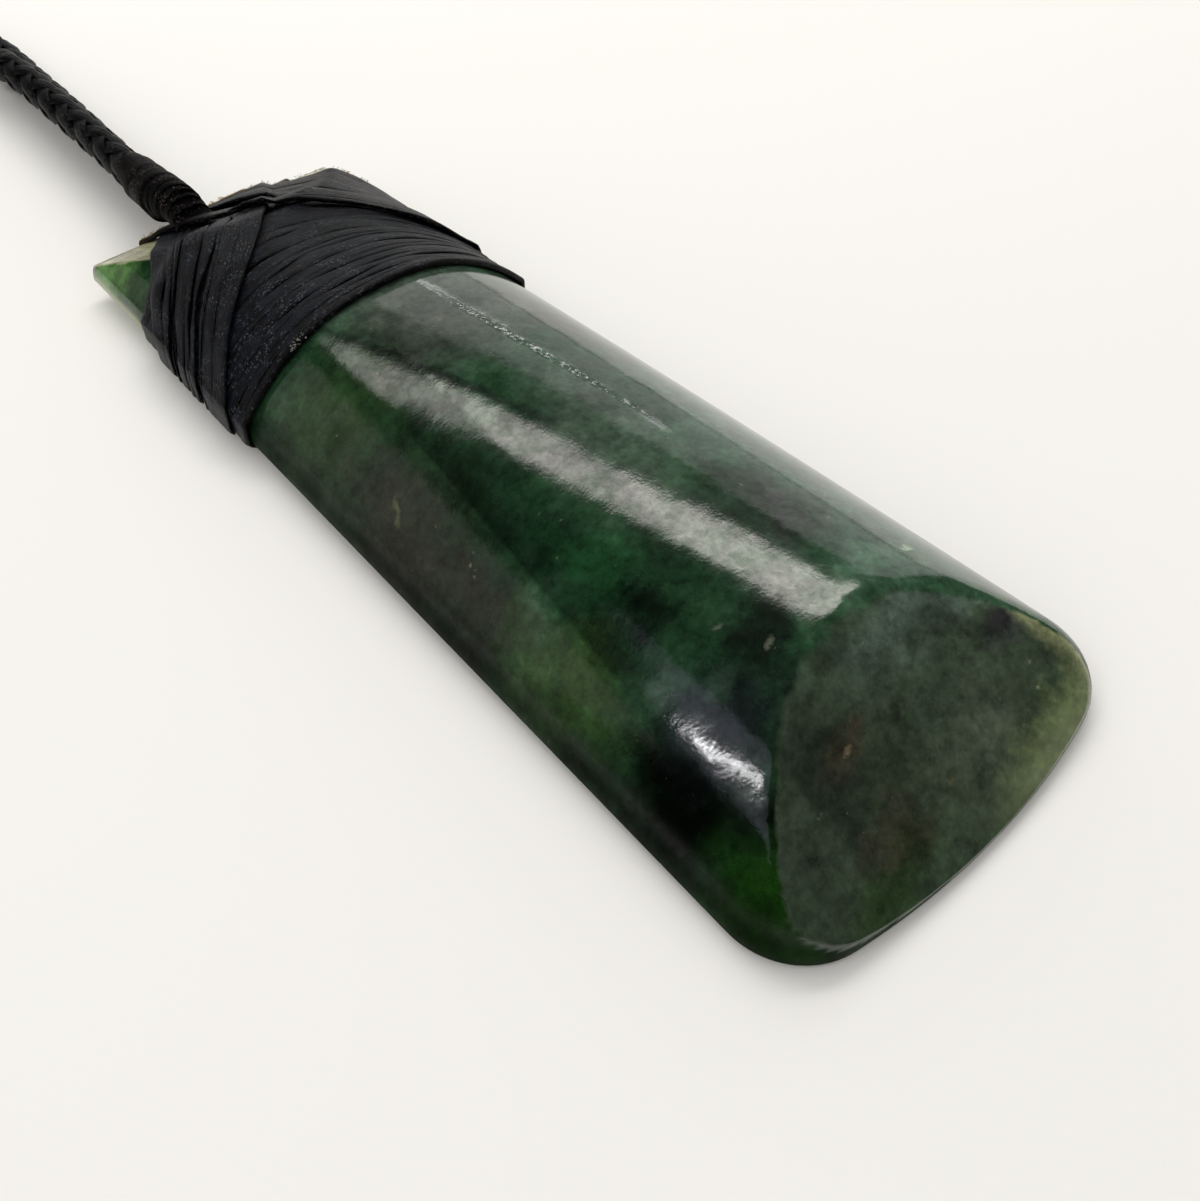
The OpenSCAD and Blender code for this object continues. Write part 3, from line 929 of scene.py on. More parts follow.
@dataclass
class Binding:
    """Flat waxed strands wound over the butt in crossing bands, each a closed turn round the stone. In mm."""

    stone: AdzeStone
    strand_thickness: float = 0.42
    pressed_share: float = 0.62
    layer_gap: float = 0.08
    ridge_clearance: float = 0.09
    under_share: float = 0.32
    over_steps: int = 52
    under_steps: int = 10
    strand_sides: int = 14
    bed_steps: int = 24
    # How much of its thickness a strand keeps where the turns bend over the stone's sides
    bent_share: float = 0.75
    # A strand's section: how square it is across and up
    square_across: float = 0.75
    square_up: float = 0.6
    # How fine the unevenness is, how much an edge wanders and laps by it in shares of a strand's width, and
    # the thickness with its own unevenness
    unevenness_per_mm: float = 0.16
    wander: float = 0.42
    lap_wander: float = 0.36
    thickness_mean: float = 0.92
    thickness_wander: float = 0.2
    # Shares of the run so near its ends count as the ends
    end_share: float = 0.001
    # Distance in mm over which a turn climbs onto the layer below
    climb: float = 1.4

    def _right(self, y: float) -> Vector:
        """Point of the right side's edge."""
        return Vector((self.stone.half_width(y), y))

    def _left(self, y: float) -> Vector:
        """Point of the left side's edge."""
        return Vector((-self.stone.half_width(y), y))

    def _butt(self, x: float) -> Vector:
        """Point of the butt's end."""
        return Vector((x, self.stone.butt_y))

    def main_turn(self, f: float) -> Turn:
        """The turn at a share of the main band, which crosses the whole stone."""
        return Turn(self._right(mix(14.3, 20.5, f)), self._left(mix(14.3, 27.5, f)), 5.5 * f * f, False)

    def left_turn(self, f: float) -> Turn:
        """The turn at a share of the band from the butt to the left side."""
        return Turn(self._butt(mix(4.8, -4.8, f)), self._left(mix(17, 27.9, f)), -3.4 * (1 - f), True)

    def right_turn(self, f: float) -> Turn:
        """The turn at a share of the band from the right side to the butt."""
        return Turn(self._right(mix(24, 35.8, f)), self._butt(mix(-0.6, 4.9, f)), mix(-0.8, 0, f), False)

    def lashing_turn(self, f: float) -> Turn:
        """The turn at a share of the strands that hold the cord down."""
        start, end = self._right(mix(20.5, 23.6, f)), self._butt(mix(-6.5, -5.1, f))
        return Turn(start, end, mix(-2.4, -1.6, f), False)

    def layers_below(self, layer: Layer, p: Vector) -> float:
        """How many layers lie under a place in plan, with a smooth climb onto each."""
        if layer is Layer.ON_STONE:
            return 0.0
        count = 1 - ramp(p.y, self.main_turn(1).y_at(p.x) + 1.9, self.climb)
        if layer is Layer.OVER_LEFT:
            count += (ramp(p.y, self.left_turn(0).y_at(p.x) - 1.2, self.climb)
                      * (1 - ramp(p.y, self.left_turn(1).y_at(p.x) + 1.2, self.climb)))
        return count

    def over_ridge(self, p: Vector) -> float:
        """Extra clearance over the ridge where the bevel meets the crown."""
        apart = abs(self.stone.dome(p.x / self.stone.half_width(p.y), p.y) - self.stone.bevel(p.y))
        return self.ridge_clearance * max(0.0, 1 - apart / 0.8)

    def _facing(self, turn: Turn, share: float) -> Vector:
        """Direction in plan that the stone's surface faces at a share of a turn."""
        p = turn.plan(share)
        if share <= self.end_share or share >= 1 - self.end_share:
            edge = turn.start if share <= self.end_share else turn.end
            on_butt = edge.y > self.stone.butt_y - 0.01
            return Vector((0, 1)) if on_butt else Vector((math.copysign(1, edge.x), 0))
        top, step = self.stone.top, 0.1
        return Vector((top(p.x - step, p.y) - top(p.x + step, p.y),
                       top(p.x, p.y - step) - top(p.x, p.y + step)))

    def _slant(self, turn: Turn, share: float, angle: float) -> float:
        """How much nearer a turn's own plane is than it seems, where it crosses a slope aslant."""
        facing = self._facing(turn, share)
        if share < self.end_share or share > 1 - self.end_share:
            run = turn.end - turn.start
        else:
            run = turn.plan(min(1, share + 0.01)) - turn.plan(max(0, share - 0.01))
        k = 1.0 if facing.length < 0.001 else max(0.4, abs(facing.dot(run)) / facing.length / run.length)
        return k / math.hypot(math.cos(angle), k * math.sin(angle))

    def section(self, turn: Turn) -> list[tuple[float, float, float]]:
        """Works out what a turn lies on, in the upright plane of its run.

        Args:
            turn: The turn.

        Returns:
            Distance along, height and the angle that it faces, once round.
        """
        run, n, r = (turn.end - turn.start).length, self.over_steps, self.stone.lower_round
        crest = []
        for i in range(n + 1):
            share = (1 - math.cos(math.pi * i / n)) / 2
            p = turn.plan(share)
            crest.append((share * run, self.stone.top(p.x, p.y)))
        faces = []
        for i in range(n + 1):
            before, after = crest[max(i - 1, 0)], crest[min(i + 1, n)]
            faces.append(math.degrees(math.atan2(after[0] - before[0], before[1] - after[1])))
        rows = [(run - r, 0, -90), (run - r / 2, r / 2, -45), (run, r, 0)]
        rows += [(run, crest[n][1], 0), (run, crest[n][1], faces[n] / 2)]
        rows += [(crest[i][0], crest[i][1], faces[i]) for i in range(n, -1, -1)]
        rows += [(0, crest[0][1], (180 + faces[0]) / 2), (0, crest[0][1], 180)]
        rows += [(0, r, 180), (r / 2, r / 2, 225), (r, 0, 270)]
        rows += [(run * k / self.under_steps, 0, 270) for k in range(1, self.under_steps)]
        return rows

    def ring(self, turn: Turn, layer: Layer, lift: float, height: float, drops: float = 0.0) -> list[Vector]:
        """Works out a closed ring of a turn at a height above what it lies on.

        Args:
            turn: The turn.
            layer: Where its band lies among the others.
            lift: How far the band is held clear over the top.
            height: Height in mm above the band's own underside.
            drops: How far, from 0 to 1, its end comes down onto the stone past the other bands.

        Returns:
            The ring's points in mm.
        """
        run = (turn.end - turn.start).length
        points = []
        for along, z, facing in self.section(turn):
            share = along / run
            under = facing < -20 or facing > 200
            inner = ramp(share, 0.08, 0.16) * (1 - ramp(share, 0.9, 0.16))
            flat = self.pressed_share if under else mix(self.bent_share, 1.0, inner)
            p = turn.plan(share)
            down = 1 - drops * ramp(share, 0.965, 0.06) * (0 if under else 1)
            below = self.layers_below(layer, p) * (self.strand_thickness * flat + self.layer_gap) * down
            lifted = self.under_share if under else mix(self.under_share, 1, inner) * down
            clear = self.layer_gap + lift * lifted + (0 if under else self.over_ridge(p))
            angle = math.radians(facing)
            out = (clear + below + height * flat) / self._slant(turn, share, angle)
            plan = turn.plan(share + out * math.cos(angle) / run)
            points.append(Vector((plan.x, plan.y, z + out * math.sin(angle))))
        return points

    def bed(self, band: "Band") -> "Bed":
        """Works out the rings under and over a band, at even shares of it."""
        shares = [mix(band.first, band.last, j / self.bed_steps) for j in range(self.bed_steps + 1)]
        low, high = [], []
        for f in shares:
            turn, lift = band.turns(f), band.lift * (1 - band.settles * ramp(f, 0.8, 0.5))
            low.append(self.ring(turn, band.layer, lift, 0.0, band.drops))
            high.append(self.ring(turn, band.layer, lift, self.strand_thickness, band.drops))
        middle = band.turns((band.first + band.last) / 2)
        run = (middle.end - middle.start).length
        return Bed(band.first, band.last, low, high, [along / run for along, _, _ in self.section(middle)])

    def profile(self) -> list[tuple[float, float]]:
        """Works out a strand's section, flat with rounded sides: across from -1 to 1, and up from 0 to 1."""
        points = []
        for k in range(self.strand_sides):
            a = 2 * math.pi * (k + 0.5) / self.strand_sides
            across = math.copysign(abs(math.cos(a)) ** self.square_across, math.cos(a))
            up = math.copysign(abs(math.sin(a)) ** self.square_up, math.sin(a))
            points.append((across, 0.5 + 0.5 * up))
        return points

    def strand(self, band: "Band", bed: "Bed", j: int, edges: Sequence[float]) -> Piece:
        """Models one strand, whose edges wander and lap over or part from its neighbours along its run.

        Args:
            band: The band that it belongs to.
            bed: The rings that it lies between.
            j: Its number in the band.
            edges: The shares of the band where its strands meet.

        Returns:
            The strand, as a closed ring.
        """
        width = edges[j + 1] - edges[j]
        rows, crests, warms = [], [], []
        for i, share in enumerate(bed.shares):
            place = bed.point(i, edges[j], 0.0) * self.unevenness_per_mm
            sides = []
            for edge, outer in ((j, j == 0), (j + 1, j + 1 == len(edges) - 1)):
                wander = lap = gap = 0.0
                if not outer:
                    wander = self.wander * noise.noise(place + Vector((31 * edge, 5, band.seed)))
                    uneven = noise.noise(1.9 * place + Vector((13 * j + edge, band.seed, 3)))
                    lap = band.lap + self.lap_wander * uneven
                if not outer and j > 1:
                    opened = 0.4 + noise.noise(Vector((3.7 * j, 8, edge)))
                    gap = band.gap * ramp(share, 0.6, 0.7) * opened
                sides.append(edges[edge] + width * (wander + (lap - gap) * (1 if edge > j else -1)))
            uneven = noise.noise(1.3 * place + Vector((7 * j, 3, band.seed)))
            tall = self.thickness_mean + self.thickness_wander * uneven + band.rim_rise * (j == 0)
            points = []
            for across, up in self.profile():
                f = mix(sides[0], sides[1], 0.5 + 0.5 * across)
                points.append(bed.point(i, f, up * tall) * MM)
            rows.append(points)
            # Painted shade: each strand is lighter on top and darker at its edges, and a band's first strand
            # can keep little of its light top, which paints a shadow line along the band's edge
            light = band.edge_strand_light if j == 0 else 1.0
            crests.append([light * ramp(up, 0.8, 0.4) * (1 - 0.6 * abs(across) ** 3)
                           for across, up in self.profile()])
            warms.append([band.warmth(edges[j] + width / 2, share)] * self.strand_sides)
        return lattice(f"{band.name}_{j}", rows, along=True, marks={"crest": crests, "warm": warms})

    def build_band(self, band: "Band") -> Piece:
        """Models a band of strands side by side, and returns it as one piece."""
        bed = self.bed(band)
        total, edges = sum(band.widths), [band.first]
        for width in band.widths:
            edges.append(edges[-1] + width / total * (band.last - band.first))
        piece = joined(band.name, [self.strand(band, bed, j, edges) for j in range(len(band.widths))])
        settle(piece)
        return piece

    def bands(self) -> list["Band"]:
        """Lists the bands, from the stone outwards."""
        main_widths = (1.1, 0.8, 1.2, 0.7, 1.3, 0.6, 1.0, 1.4, 0.6, 1.1, 1.5, 0.8, 1.6, 1.2, 1.4, 1.0)
        left_widths = (1.6, 1.4, 0.6, 1.2, 0.7, 1.3, 0.6, 1.1, 1.5)
        return [
            Band("main_turns", "main_binding", self.main_turn, Layer.ON_STONE, main_widths, 0.0, 1.16,
                 lap=0.06, edge_strand_light=0.15, rim_rise=0.3, seed=1),
            Band("left_turns", "left_binding", self.left_turn, Layer.OVER_MAIN, left_widths, 0.0, 1.0,
                 lap=0.08, gap=0.6, seed=2),
            Band("right_turns", "right_binding", self.right_turn, Layer.OVER_LEFT, (1.9, 1.3, 1.8, 1.2),
                 -0.12, 0.84, lap=0.2, lift=0.12, settles=0.9, rim=0.8, seed=3),
            Band("lashing_turns", "cord_lashing", self.lashing_turn, Layer.OVER_LEFT, (0.6, 2.4), 0.0, 1.0,
                 lap=0.1, lift=0.12, drops=1.0, edge_strand_light=0.1, seed=4),
        ]

    def build(self) -> dict[str, Piece]:
        """Models all four bands, and returns them by the solid that each stands for."""
        return {band.node: self.build_band(band) for band in self.bands()}


@dataclass(frozen=True)
class Band:
    """One band of the binding: its turns by share, its strands' widths and how they lie.

    lap and gap are shares of a strand's width, and the gaps open towards the band's end. settles says how
    much of the lift goes towards the band's far side, drops how far its end comes down onto the stone past
    the other bands, rim from which share on its thread is bleached golden, edge_strand_light how much of its
    painted light top its first strand keeps, a low value painting a dark shadow line along the band's edge,
    and rim_rise how much thicker that strand is.
    """

    name: str
    node: str
    turns: Callable[[float], Turn]
    layer: Layer
    widths: tuple[float, ...]
    first: float
    last: float
    lap: float = 0.0
    gap: float = 0.0
    lift: float = 0.0
    settles: float = 0.0
    drops: float = 0.0
    rim: float = 2.0
    edge_strand_light: float = 1.0
    rim_rise: float = 0.0
    seed: int = 0

    def warmth(self, f: float, share: float) -> float:
        """How golden the thread is at a share of the band and of its run: at its rim and over the butt."""
        at_butt = 0.7 * ramp(share, 0.99, 0.02) if self.layer is Layer.OVER_LEFT else 0.0
        all_over = 0.1 if self.layer is Layer.OVER_LEFT and f > 0.15 else 0.0
        return max(all_over, ramp(f, self.rim, 0.12), at_butt)


@dataclass(frozen=True)
class Bed:
    """The rings under and over a band in mm, at even shares of it, with each point's share of the run."""

    first: float
    last: float
    low: list[list[Vector]]
    high: list[list[Vector]]
    shares: list[float]

    def point(self, i: int, f: float, height: float) -> Vector:
        """Point of the ring at a share of the band, from its underside at height 0 to its top at 1."""
        at = (f - self.first) / (self.last - self.first) * (len(self.low) - 1)
        j = min(max(int(at), 0), len(self.low) - 2)
        under = self.low[j][i].lerp(self.low[j + 1][i], at - j)
        over = self.high[j][i].lerp(self.high[j + 1][i], at - j)
        return under.lerp(over, height)


@dataclass(frozen=True)
class Fibre:
    """Loose end of one fibre of the thread, bleached where it has frayed."""

    name: str
    colour: str
    roughness: float = 0.6
    # How much light goes into it, and how far in mm in red, green and blue
    glow: float = 0.3
    glow_spread: tuple[float, float, float] = (1.0, 0.8, 0.5)
    glow_mm: float = 0.1

    def material(self) -> Material:
        """Makes the fibre's material, a little translucent, so that it is light against a bright ground."""
        material, tree = new_material(self.name)
        surface(tree, {
            "Base Color": linear(self.colour),
            "Roughness": self.roughness,
            "Subsurface Weight": self.glow,
            "Subsurface Radius": self.glow_spread,
            "Subsurface Scale": self.glow_mm * MM,
        })
        return material


@dataclass
class Fraying:
    """Short fibres that stand out of the worn rims of the binding. Sizes in mm."""

    binding: Binding
    fibre_width: float = 0.045
    fibre_sides: int = 3
    # How much of its length a fibre curls aside
    curl: float = 0.35
    steps: int = 4
    # Height of the roots in their strand, from 0 at its underside to 1, and the ring's first point on top
    root_height: float = 0.9
    first_on_top: int = 5
    seed: int = 11
    # The cut end's strand
    end_width: float = 1.3
    end_thickness: float = 0.3
    end_sides: int = 10
    end_steps: int = 6

    def tuft(self, name: str, roots: Sequence[tuple[Vector, Vector]], length: float, spread: float,
             chance: random.Random) -> Piece:
        """Models fibres that leave their roots in about the given directions, and curl.

        Args:
            name: Name of the fibres together.
            roots: For each fibre, its root and its direction.
            length: Their mean length.
            spread: How far they stray from the direction.
            chance: The seeded source of their unevenness.

        Returns:
            The fibres, as one piece.
        """
        fibres = []
        for i, (root, out) in enumerate(roots):
            stray = Vector((chance.uniform(-1, 1), chance.uniform(-1, 1), chance.uniform(-0.6, 0.8))) * spread
            way = (out.normalized() + stray).normalized() * length * chance.uniform(0.5, 1.3)
            bend = Vector((chance.uniform(-1, 1), chance.uniform(-1, 1), chance.uniform(-0.8, 0.5)))
            curl = bend * length * self.curl
            path = [root + way * t + curl * t * t for t in (k / self.steps for k in range(self.steps + 1))]
            side = way.orthogonal()
            fibres.append(swept(f"{name}_{i}", path, [side] * len(path), self.fibre_width, self.fibre_width,
                                self.fibre_sides))
        piece = joined(name, fibres)
        settle(piece)
        return piece

    def roots(self, band: Band, f: tuple[float, float], share: tuple[float, float], count: int,
              chance: random.Random) -> list[tuple[Vector, Vector]]:
        """Picks roots on top of a band, between shares of the band and of its run over the top.

        Args:
            band: The band that frays.
            f: First and last share of the band.
            share: First and last share of the run.
            count: How many.
            chance: The seeded source of the choice.

        Returns:
            Each root with the direction away from the stone.
        """
        bed = self.binding.bed(band)
        tops = range(self.first_on_top, self.first_on_top + self.binding.over_steps)
        over = [i for i in tops if share[0] <= bed.shares[i] <= share[1]]
        picked = []
        for _ in range(count):
            i, at = chance.choice(over), chance.uniform(*f)
            low, high = bed.point(i, at, 0.0), bed.point(i, at, self.root_height)
            step = bed.point(i + 1, at, self.root_height) - high
            picked.append((high + step * chance.random(), (high - low).normalized()))
        return picked

    def build(self) -> dict[str, Piece]:
        """Models the golden rim and the pale tuft, and returns each by its colour's name."""
        chance = random.Random(self.seed)
        across, _, right, lashing = self.binding.bands()
        rim = self.roots(right, (0.79, 0.84), (0.0, 1.0), 70, chance)
        rim += self.roots(right, (-0.12, 0.75), (0.965, 1.0), 90, chance)
        rim += self.roots(lashing, (0.0, 1.0), (0.95, 1.0), 60, chance)
        rim = [(p, out + Vector((0, 0.5, 0))) for p, out in rim]
        golden = self.tuft("golden_rim", rim, 0.22, 1.2, chance)
        ends = self.roots(across, (0.0, 0.05), (0.78, 0.82), 55, chance)
        ends = [(p, out + Vector((-0.4, -0.8, 0))) for p, out in ends]
        pale = self.tuft("pale_tuft", ends, 0.26, 0.9, chance)
        return {"golden": golden, "pale": pale}

    def cut_end(self) -> Piece:
        """Models the flat end of a strand, cut off and tucked in along the butt's edge, bleached and torn."""
        path = [Vector((1.6, 37.9, 2.6)), Vector((3.2, 38.2, 2.35)), Vector((4.6, 38.35, 2.12)),
                Vector((5.9, 38.35, 2.05)), Vector((6.8, 38.25, 2.15))]
        outs = [Vector(o) for o in ((0, 0.4, 1), (0, 0.42, 1), (0, 0.42, 1), (0, 0.42, 1), (-0.25, 0.4, 1))]
        smooth, up = [], []
        for i in range(len(path) - 1):
            for k in range(self.end_steps):
                smooth.append(path[i].lerp(path[i + 1], k / self.end_steps))
                up.append(outs[i].lerp(outs[i + 1], k / self.end_steps))
        piece = swept("cut_thread_end", smooth + path[-1:], up + outs[-1:], self.end_width,
                      self.end_thickness, self.end_sides)
        settle(piece)
        return piece


@dataclass(frozen=True)
class CollarRow:
    """Sizes in mm round both runs of the cord at one place along the collar."""

    y: float
    upper_x: float
    upper_z: float
    upper_r: float
    lower_x: float
    lower_z: float
    lower_r: float


@dataclass
class Collar:
    """Thread wound tightly round both runs of the cord where they leave the butt. Sizes in mm."""

    rows: tuple[CollarRow, ...] = (
        CollarRow(34.9, -4.1, 2.90, 0.35, -1.7, 2.90, 0.35),
        CollarRow(36.0, -3.9, 3.20, 0.85, -2.1, 3.20, 0.85),
        CollarRow(37.2, -3.3, 3.65, 1.35, -2.7, 3.65, 1.35),
        CollarRow(38.2, -3.0, 3.95, 1.65, -2.9, 3.90, 1.60),
        CollarRow(39.6, -3.1, 4.00, 1.75, -3.1, 3.80, 1.75),
        CollarRow(41.2, -3.3, 3.85, 1.85, -3.0, 3.00, 1.80),
        CollarRow(43.2, -3.2, 3.65, 1.85, -2.3, 2.00, 1.75),
        CollarRow(45.0, -2.9, 3.40, 1.65, -1.7, 1.20, 1.60),
        CollarRow(46.5, -2.7, 3.10, 1.50, -1.3, 0.65, 1.50),
    )
    thread_width: float = 1.0
    thread_thickness: float = 0.07
    pitch: float = 0.7
    steps_per_turn: int = 30
    thread_sides: int = 6
    # How far a winding wanders along the collar, and in and out
    wander: float = 0.28
    depth_wander: float = 0.04
    # The core under the windings: its depth, steps and sides, and how light its thread is
    core_depth: float = 0.03
    core_steps: int = 30
    core_sides: int = 24
    core_crest: float = 0.8
    seed: int = 21

    def row_at(self, y: float) -> CollarRow:
        """Sizes at any place along the collar, between those of the rows beside it."""
        rows = self.rows
        i = next((i for i in range(len(rows) - 2) if y < rows[i + 1].y), len(rows) - 2)
        share = min(1.0, max(0.0, (y - rows[i].y) / (rows[i + 1].y - rows[i].y)))
        before, after = vars(rows[i]), vars(rows[i + 1])
        return CollarRow(**{key: mix(before[key], after[key], share) for key in before})

    def skin(self, y: float, angle: float, depth: float) -> Vector:
        """Point on the wrap round both runs, at a depth under its outside."""
        row = self.row_at(y)
        out = Vector((math.cos(angle), math.sin(angle)))
        upper = Vector((row.upper_x, row.upper_z)) + (row.upper_r - depth) * out
        lower = Vector((row.lower_x, row.lower_z)) + (row.lower_r - depth) * out
        far = upper if upper.dot(out) > lower.dot(out) else lower
        return Vector((far.x, y, far.y))

    def winding(self, name: str, first: float, last: float, turns: float, depth: float,
                chance: random.Random) -> Piece:
        """Models one run of thread wound round the collar.

        Args:
            name: Name of the run.
            first: Where it begins along the collar.
            last: Where it ends.
            turns: How many times it goes round.
            depth: Depth of its middle under the collar's outside.
            chance: The seeded source of its unevenness.

        Returns:
            The thread, closed at its ends.
        """
        count = int(abs(turns) * self.steps_per_turn)
        seed = Vector((chance.uniform(0, 50), 0, 0))
        path, outs = [], []
        for i in range(count + 1):
            share = i / count
            angle = 2 * math.pi * turns * share
            wander = self.wander * noise.noise(seed + Vector((0, share * turns * 2.1, 0)))
            y = mix(first, last, share) + wander
            deep = depth + self.depth_wander * noise.noise(seed + Vector((9, share * turns * 3.3, 0)))
            path.append(self.skin(y, angle, deep))
            outs.append(Vector((math.cos(angle), 0, math.sin(angle))))
        return swept(name, path, outs, self.thread_width, self.thread_thickness, self.thread_sides)

    def build(self) -> Piece:
        """Models the core and the windings over it, and returns them as one piece."""
        chance = random.Random(self.seed)
        sides = self.core_sides
        angles = [2 * math.pi * j / sides for j in range(sides)]
        rows = []
        for i in range(self.core_steps + 1):
            y = mix(self.rows[0].y, self.rows[-1].y, i / self.core_steps)
            rows.append([self.skin(y, a, self.core_depth) * MM for a in angles])
        crests = [[self.core_crest] * sides] * len(rows)
        core = lattice("collar_core", rows, capped=True, marks={"crest": crests})
        span = self.rows[-1].y - self.rows[0].y
        close = self.winding("collar_close", 35.2, 46.6, span / self.pitch, 0.07, chance)
        back = self.winding("collar_back", 46.2, 37.6, -4.4, 0.03, chance)
        piece = joined("collar_windings", [core, close, back])
        settle(piece)
        return piece


@dataclass
class NeckCord:
    """The braided neck cord: one whole loop of eight strands. Sizes in mm.

    It follows its solid's route, and its two ends run on a little into the collar's mouth.
    """

    # Height of the cord's middle where it lies on the floor
    lie: float = 1.5
    # Length of braid in which a strand goes once round
    twist: float = 15.0
    strands: int = 8
    strand_width: float = 1.36
    strand_thickness: float = 0.52
    # Distance of a strand's middle from the cord's, and how far it swings in and out as it crosses the others
    strand_r: float = 1.06
    swing: float = 0.17
    core_r: float = 0.95
    step: float = 0.45
    strand_sides: int = 8
    core_sides: int = 8
    # Every so many points of the line has a section of the core
    core_every: int = 3
    # Points of the smooth curve between two of its route
    curve_steps: int = 40
    # How narrow the painted light top of a strand is, over sides painted in shade
    light_top_narrowness: float = 1.3
    route: tuple[tuple[float, ...], ...] = (
        (-2.82, 45.6, 4.6), (-2.7, 47.2, 4.2), (-2.4, 51, 4.1), (-2.1, 57, 4.0), (-1.9, 63, 4.0),
        (-1.7, 69, 3.9), (-1.8, 74, 3.6), (-3, 80, 2.6), (-7, 87), (-14, 93), (-23, 94), (-32, 88), (-39, 77),
        (-45, 62), (-52, 45), (-59, 27), (-66, 9), (-74, -9), (-85, -25), (-100, -36), (-118, -39),
        (-136, -33), (-150, -20), (-160, -1), (-166, 22), (-167, 47), (-164, 72), (-155, 96), (-141, 116),
        (-122, 131), (-99, 139), (-74, 140), (-50, 135), (-28, 125), (-11, 111), (-2, 96), (0.4, 83),
        (0.2, 72), (-0.2, 63), (-0.8, 54), (-1.1, 47.2, 1.6), (-1.54, 45.6, 2.3))

    def line(self) -> list[Vector]:
        """Works out the cord's middle line, with points evenly spaced on the smooth curve through its route.

        Returns:
            The points in mm.
        """
        points = [Vector((*p, self.lie)) if len(p) == 2 else Vector(p) for p in self.route]
        fine = []
        for i in range(len(points) - 1):
            p0, p1, p2 = points[max(i - 1, 0)], points[i], points[i + 1]
            p3 = points[min(i + 2, len(points) - 1)]
            for k in range(self.curve_steps):
                t = k / self.curve_steps
                fine.append(0.5 * (2 * p1 + (p2 - p0) * t + (2 * p0 - 5 * p1 + 4 * p2 - p3) * t * t
                                   + (3 * p1 - p0 - 3 * p2 + p3) * t ** 3))
        fine.append(points[-1])
        run = [0.0]
        for before, after in zip(fine, fine[1:]):
            run.append(run[-1] + (after - before).length)
        count = round(run[-1] / self.step)
        even, k = [], 0
        for i in range(count + 1):
            at = run[-1] * i / count
            while k < len(fine) - 2 and run[k + 1] < at:
                k += 1
            even.append(fine[k].lerp(fine[k + 1], (at - run[k]) / (run[k + 1] - run[k])))
        return even

    def build(self) -> Piece:
        """Models the braid: half of the strands wind each way, each over and then under those it meets."""
        line = self.line()
        frames = []
        for i, p in enumerate(line):
            ahead = (line[min(i + 1, len(line) - 1)] - line[max(i - 1, 0)]).normalized()
            side = ahead.cross(Vector((0, 0, 1))).normalized()
            frames.append((p, side, side.cross(ahead)))
        half = self.strands // 2
        pieces = []
        for k in range(self.strands):
            way, phase = (1, 0.0) if k < half else (-1, math.pi)
            start = 2 * math.pi * (k % half) / half
            path, outs = [], []
            for i, (p, side, up) in enumerate(frames):
                turn = 2 * math.pi * i * self.step / self.twist
                angle = way * turn + start
                out = math.cos(angle) * side + math.sin(angle) * up
                crossing = half * turn + phase
                path.append(p + out * (self.strand_r + self.swing * math.cos(crossing)))
                outs.append(out)
            pieces.append(swept(f"braid_{k}", path, outs, self.strand_width, self.strand_thickness,
                                self.strand_sides, self.light_top_narrowness))
        core = []
        angles = [2 * math.pi * j / self.core_sides for j in range(self.core_sides)]
        for p, side, up in frames[::self.core_every] + frames[-1:]:
            core.append([(p + self.core_r * (math.cos(a) * side + math.sin(a) * up)) * MM for a in angles])
        pieces.append(lattice("braid_core", core, capped=True))
        return joined("neck_braid", pieces)


@dataclass(frozen=True)
class Lamp:
    """A flat rectangular lamp. Place and sizes in m, brightness against a white board in full light.

    It faces the pendant, or straight down where it hangs from the ceiling, and is turned by spin degrees.
    The cards are lamps too, dim ones.
    """

    name: str
    place: tuple[float, float, float]
    width: float
    height: float
    brightness: float
    colour: str = "#ffffff"
    ceiling: bool = False
    spin: float = 0.0
    mirrored: bool = True

    def turned(self) -> tuple[float, float, float]:
        """Returns the lamp's turn."""
        spin = Matrix.Rotation(math.radians(self.spin), 3, "Z")
        facing = Matrix.Identity(3)
        if not self.ceiling:
            facing = Vector(self.place).to_track_quat("Z", "Y").to_matrix()
        return tuple((facing @ spin).to_euler())


def aimed(azimuth: float, elevation: float, distance: float) -> tuple[float, float, float]:
    """Place at a distance from the pendant, in degrees from +Y towards +X and above the floor."""
    a, e = math.radians(azimuth), math.radians(elevation)
    return distance * math.sin(a) * math.cos(e), distance * math.cos(a) * math.cos(e), distance * math.sin(e)


